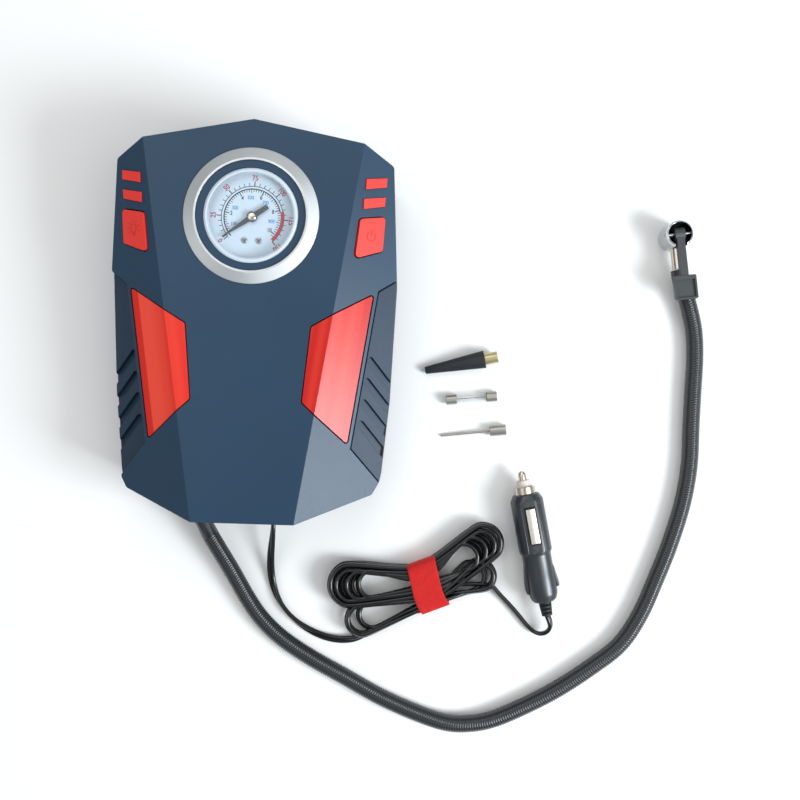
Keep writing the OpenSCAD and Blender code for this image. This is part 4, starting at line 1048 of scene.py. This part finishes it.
CROSS_UP, CROSS_BAR = 0.82, (2.2, 0.5, 0.16, 1)
screw_places = [GAUGE + Vector((x, -13, DIAL_TOP)) * MM for x in (-4, 4)]
heads, cross_shade = bmesh.new(), bmesh.new()
for place in screw_places:
    head = spun([(0, 0.9), (0.9, 0.84), (1.5, 0.6), (1.75, 0.2), (1.75, 0), (0, 0)], 32)
    bmesh.ops.transform(head, matrix=Matrix.Translation(place / MM), verts=head.verts)
    moved = bpy.data.meshes.new("screw_head")
    head.to_mesh(moved)
    head.free()
    heads.from_mesh(moved)
    bpy.data.meshes.remove(moved)
    for turn in (40, 130):
        lay = (Matrix.Translation(place / MM + Vector((0, 0, CROSS_UP))) @ turned(turn)
               @ Matrix.Diagonal(CROSS_BAR))
        bmesh.ops.create_cube(cross_shade, size=1.0, matrix=lay)
dial_screws = set_down(heads, "dial_screw_heads", Matrix.Identity(4))
placed(dial_screws, "inflator", "screw_steel", zinc, "dial_screws")
# The dark bars are painted shade in the screws' sunk crosses.
cross_shade_bars = set_down(cross_shade, "dial_screw_cross_shade", Matrix.Identity(4))
placed(cross_shade_bars, "inflator", "screw_steel", painted_black)

# %% [markdown]
# The plug's grip is glass-filled nylon, moulded with flats and wings: a flat for each side
# contact, two cheeks beside it, and two spring wings that hold the plug in its socket. We spin
# the grip's own section, then press the vertices beyond a depth in to make each flat.

# %% Plug grip
PLUG_AT = Vector((161, -82, 11))
plug_frame = Matrix.Translation(PLUG_AT * MM) @ turned(12) @ turned(90, "X")
FLAT_AT = 9.2
FLAT_ENDS = (17, 49.5)


def grip_shape():
    """The grip round Z with its cord end at the top, and flats along both contacts."""
    shape = spun([(4.6, 14.4), (7.4, 14.4), (8.2, 14.9), (9.9, 18), (10.05, 19), (10.05, 34),
                  (10.05, 49), (9.9, 50), (9.0, 51.6), (8.85, 52.4), (8.85, 64), (8.85, 76),
                  (8.5, 77.4), (7.6, 79.8), (6.4, 81), (4.2, 81)], 64)
    for vert in shape.verts:
        if FLAT_ENDS[0] < vert.co.z < FLAT_ENDS[1] and abs(vert.co.y) > FLAT_AT:
            vert.co.y = math.copysign(FLAT_AT, vert.co.y)
    return shape


grip_plastic = finish("glass_filled_black_nylon", "#262C32", "#1F252A", 0.33, 0.5, 0.04,
                      drift_mm=14, Specular_IOR_Level=0.75)
grip = set_down(grip_shape(), "plug_grip", plug_frame, 24)
placed(grip, "inflator", "plug_black", grip_plastic, "plug_body")


def wing_shape(side):
    """A spring wing in outline beside the grip, extruded to its width and softened."""
    shape = bmesh.new()
    outline = ([(8.3, 55), (9.2, 60), (10.3, 68), (10.6, 72.5), (9.9, 75), (8.3, 75.5)]
               if side < 0 else [(8.3, 58), (9.0, 60.5), (10.6, 70.5), (10.5, 72.8), (8.3, 73.4)])
    ring = [shape.verts.new((side * x, -2.6, z)) for x, z in outline]
    face = shape.faces.new(ring)
    grown = bmesh.ops.extrude_face_region(shape, geom=[face])["geom"]
    raised = [g for g in grown if isinstance(g, bmesh.types.BMVert)]
    bmesh.ops.translate(shape, vec=(0, 5.2, 0), verts=raised)
    bmesh.ops.recalc_face_normals(shape, faces=shape.faces)
    soften(shape, 0.4, 2)
    return shape


wings = [set_down(wing_shape(side), name, plug_frame, 40)
         for side, name in ((-1, "plug_wing_left"), (1, "plug_wing_right"))]
for wing in wings:
    placed(wing, "inflator", "plug_black", grip_plastic)
print("grip faces:", len(grip.data.polygons))

# %% [markdown]
# Each side contact is a bowed leaf of nickel plated spring brass that sits in a slot. The slot's
# shade is painted as a near-black plate just over the flat, and a low rounded rib lies on each side
# of it like the real moulding's cheeks.

# %% Contact slot and cheeks
SLOT_W, SLOT_L, SLOT_MIDDLE = 7.0, 23.6, 33.5
SHADE_PLATE_T = 0.06


def slot_plate():
    """A thin plate over each flat, as long and wide as the contact's slot, painted as its shade."""
    shape = bmesh.new()
    for side in (1, -1):
        lay = (Matrix.Translation((0, side * (FLAT_AT + SHADE_PLATE_T / 2), SLOT_MIDDLE))
               @ turned(90, "X") @ Matrix.Diagonal((SLOT_W, SLOT_L, 1, 1)))
        bmesh.ops.create_grid(shape, x_segments=2, y_segments=6, size=0.5, matrix=lay)
    bmesh.ops.solidify(shape, geom=shape.faces[:], thickness=SHADE_PLATE_T)
    bmesh.ops.recalc_face_normals(shape, faces=shape.faces)
    return shape


def cheek_shape():
    """Two low rounded ribs beside the slot, from the nose to the step of the grip."""
    shape = bmesh.new()
    for side in (1, -1):
        lay = (turned(side * 40) @ Matrix.Translation((0, 9.85, 35.5))
               @ Matrix.Diagonal((3.6, 1.0, 29, 1)))
        bmesh.ops.create_cube(shape, size=1.0, matrix=lay)
    soften(shape, 0.42, 3)
    return shape


# This near-black plate is painted shade of the contact slot.
slot_shade_black = finish("painted_slot_shade", "#08090A", "#0B0C0D", 0.7, 0.4, 0.02)
slot_shade = set_down(slot_plate(), "plug_slot_shade_plates", plug_frame)
placed(slot_shade, "inflator", "plug_black", slot_shade_black)
cheeks = set_down(cheek_shape(), "plug_cheeks", plug_frame, 40)
placed(cheeks, "inflator", "plug_black", grip_plastic)
contact_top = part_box("plug_contacts")[1].z
print("leaf stands", round((contact_top / MM - PLUG_AT.z) - FLAT_AT, 2), "mm over the flat")

# %% [markdown]
# The chuck is die-cast zinc with bright chrome, and its lever is pressed steel with grey paint.
# Chrome has almost no colour of its own: it shows the white walls and the dark of its own recess,
# so it only needs a low roughness. Inside the bore's rim the colour is painted near black, as
# painted shade of the deep recess.

# %% Chuck and lever
CHUCK_AT = Vector((251.5, 65, 0)) * MM
BORE_RIM = (7.02, 7.12)
chrome = dress(finish("bright_chrome", "#D5D8DA", "#C6CACD", 0.1, 0.8, 0.006, metallic=1.0,
                      drift_mm=4, edge_mm=0.5), "chuck_body")
chrome_tree, chrome_shader, plating = opened(chrome)
outside = add(chrome_tree, "MapRange", {"Value": off_axis(chrome_tree, CHUCK_AT),
                                        "From Min": BORE_RIM[0] * MM,
                                        "From Max": BORE_RIM[1] * MM})
# The near-black inside the bore's rim is painted shade of the recess.
bore_shaded = add(chrome_tree, "Mix", {"Factor": outside.outputs["Result"], "A": linear("#1B1D20"),
                                 "B": plating}, data_type="RGBA")
fill(chrome_shader, {"Base Color": bore_shaded.outputs["Result"]})
dress(finish("grey_painted_steel", "#3E4244", "#34383A", 0.42, 0.35, 0.025, drift_mm=10,
             edge_mm=0.4), "chuck_lever")

# %% [markdown]
# Three loose pieces lie beside the inflator. The tapered nozzle is soft black PVC with eight long
# flats, a sleeve on a brass stub. We make its flats as an eight-sided cone whose long edges are
# bevelled, and a cone is already closed, so nothing has to be joined. The fuse's tube is clear
# where we look straight through it and whiter towards its sides, where we see more glass, which
# the Layer Weight node measures. Its wire is a thin rod, spun with a still thinner waist where it
# is meant to melt.

# %% Nozzle, fuse and needle
def lying(start, turn, rise):
    """The frame of a piece that lies along its Z axis from a start, turned and rising."""
    return Matrix.Translation(Vector(start) * MM) @ turned(turn) @ turned(90 - rise, "Y")


nozzle_frame = lying((100, -22.2, 2.6), 12.3, 5.1)
taper = bmesh.new()
bmesh.ops.create_cone(taper, cap_ends=True, segments=8, radius1=2.42, radius2=5.9, depth=37.6,
                      matrix=Matrix.Translation((0, 0, 19.2)) @ Matrix.Rotation(0.39, 4, "Z"))
soften(taper, 0.5, 3)
soft_pvc = finish("soft_black_pvc", "#22262A", "#1B1E22", 0.5, 0.6, 0.05, drift_mm=9,
                  Specular_IOR_Level=0.4)
nozzle = set_down(taper, "tapered_nozzle", nozzle_frame, 30)
placed(nozzle, "nozzle", "black_plastic", soft_pvc, "nozzle_adapter")

fuse_frame = lying((114, -40, 3.15), 6, 0)
wire = spun([(0, 5.4), (0.26, 5.4), (0.26, 13), (0.18, 14), (0.18, 17), (0.26, 18), (0.26, 26),
             (0, 26)], 12)
fuse_wire = set_down(wire, "fuse_wire", fuse_frame)
tinned_wire = finish("tinned_fuse_wire", "#74777A", "#65686B", 0.45, 0.3, 0.004, metallic=0.5,
                     edge_mm=0.05)
placed(fuse_wire, "spare_fuse", "nickel", tinned_wire)
tube_glass = dress(finish("soda_lime_tube", "#E9EDED", "#E1E7E7", 0.08, 3.0, 0.002),
                   "fuse_glass")
glass_tree, glass_shader = opened(tube_glass)[:2]
grazing = add(glass_tree, "LayerWeight", {"Blend": 0.3})
thicker = add(glass_tree, "MapRange", {"Value": grazing.outputs["Facing"], "To Min": 0.08,
                                       "To Max": 0.6})
fill(glass_shader, {"Alpha": thicker.outputs["Result"]})
print("kit:", nozzle.name, fuse_wire.name)

# %% [markdown]
# Last we list every frame node that is shown but has no finish.

# %% Finish
bare = [n for n, o in nodes.items() if not o.hide_render and
        not all(m and m.use_nodes and len(m.node_tree.nodes) > 4 for m in o.data.materials)]
print("nodes without a finish:", bare)
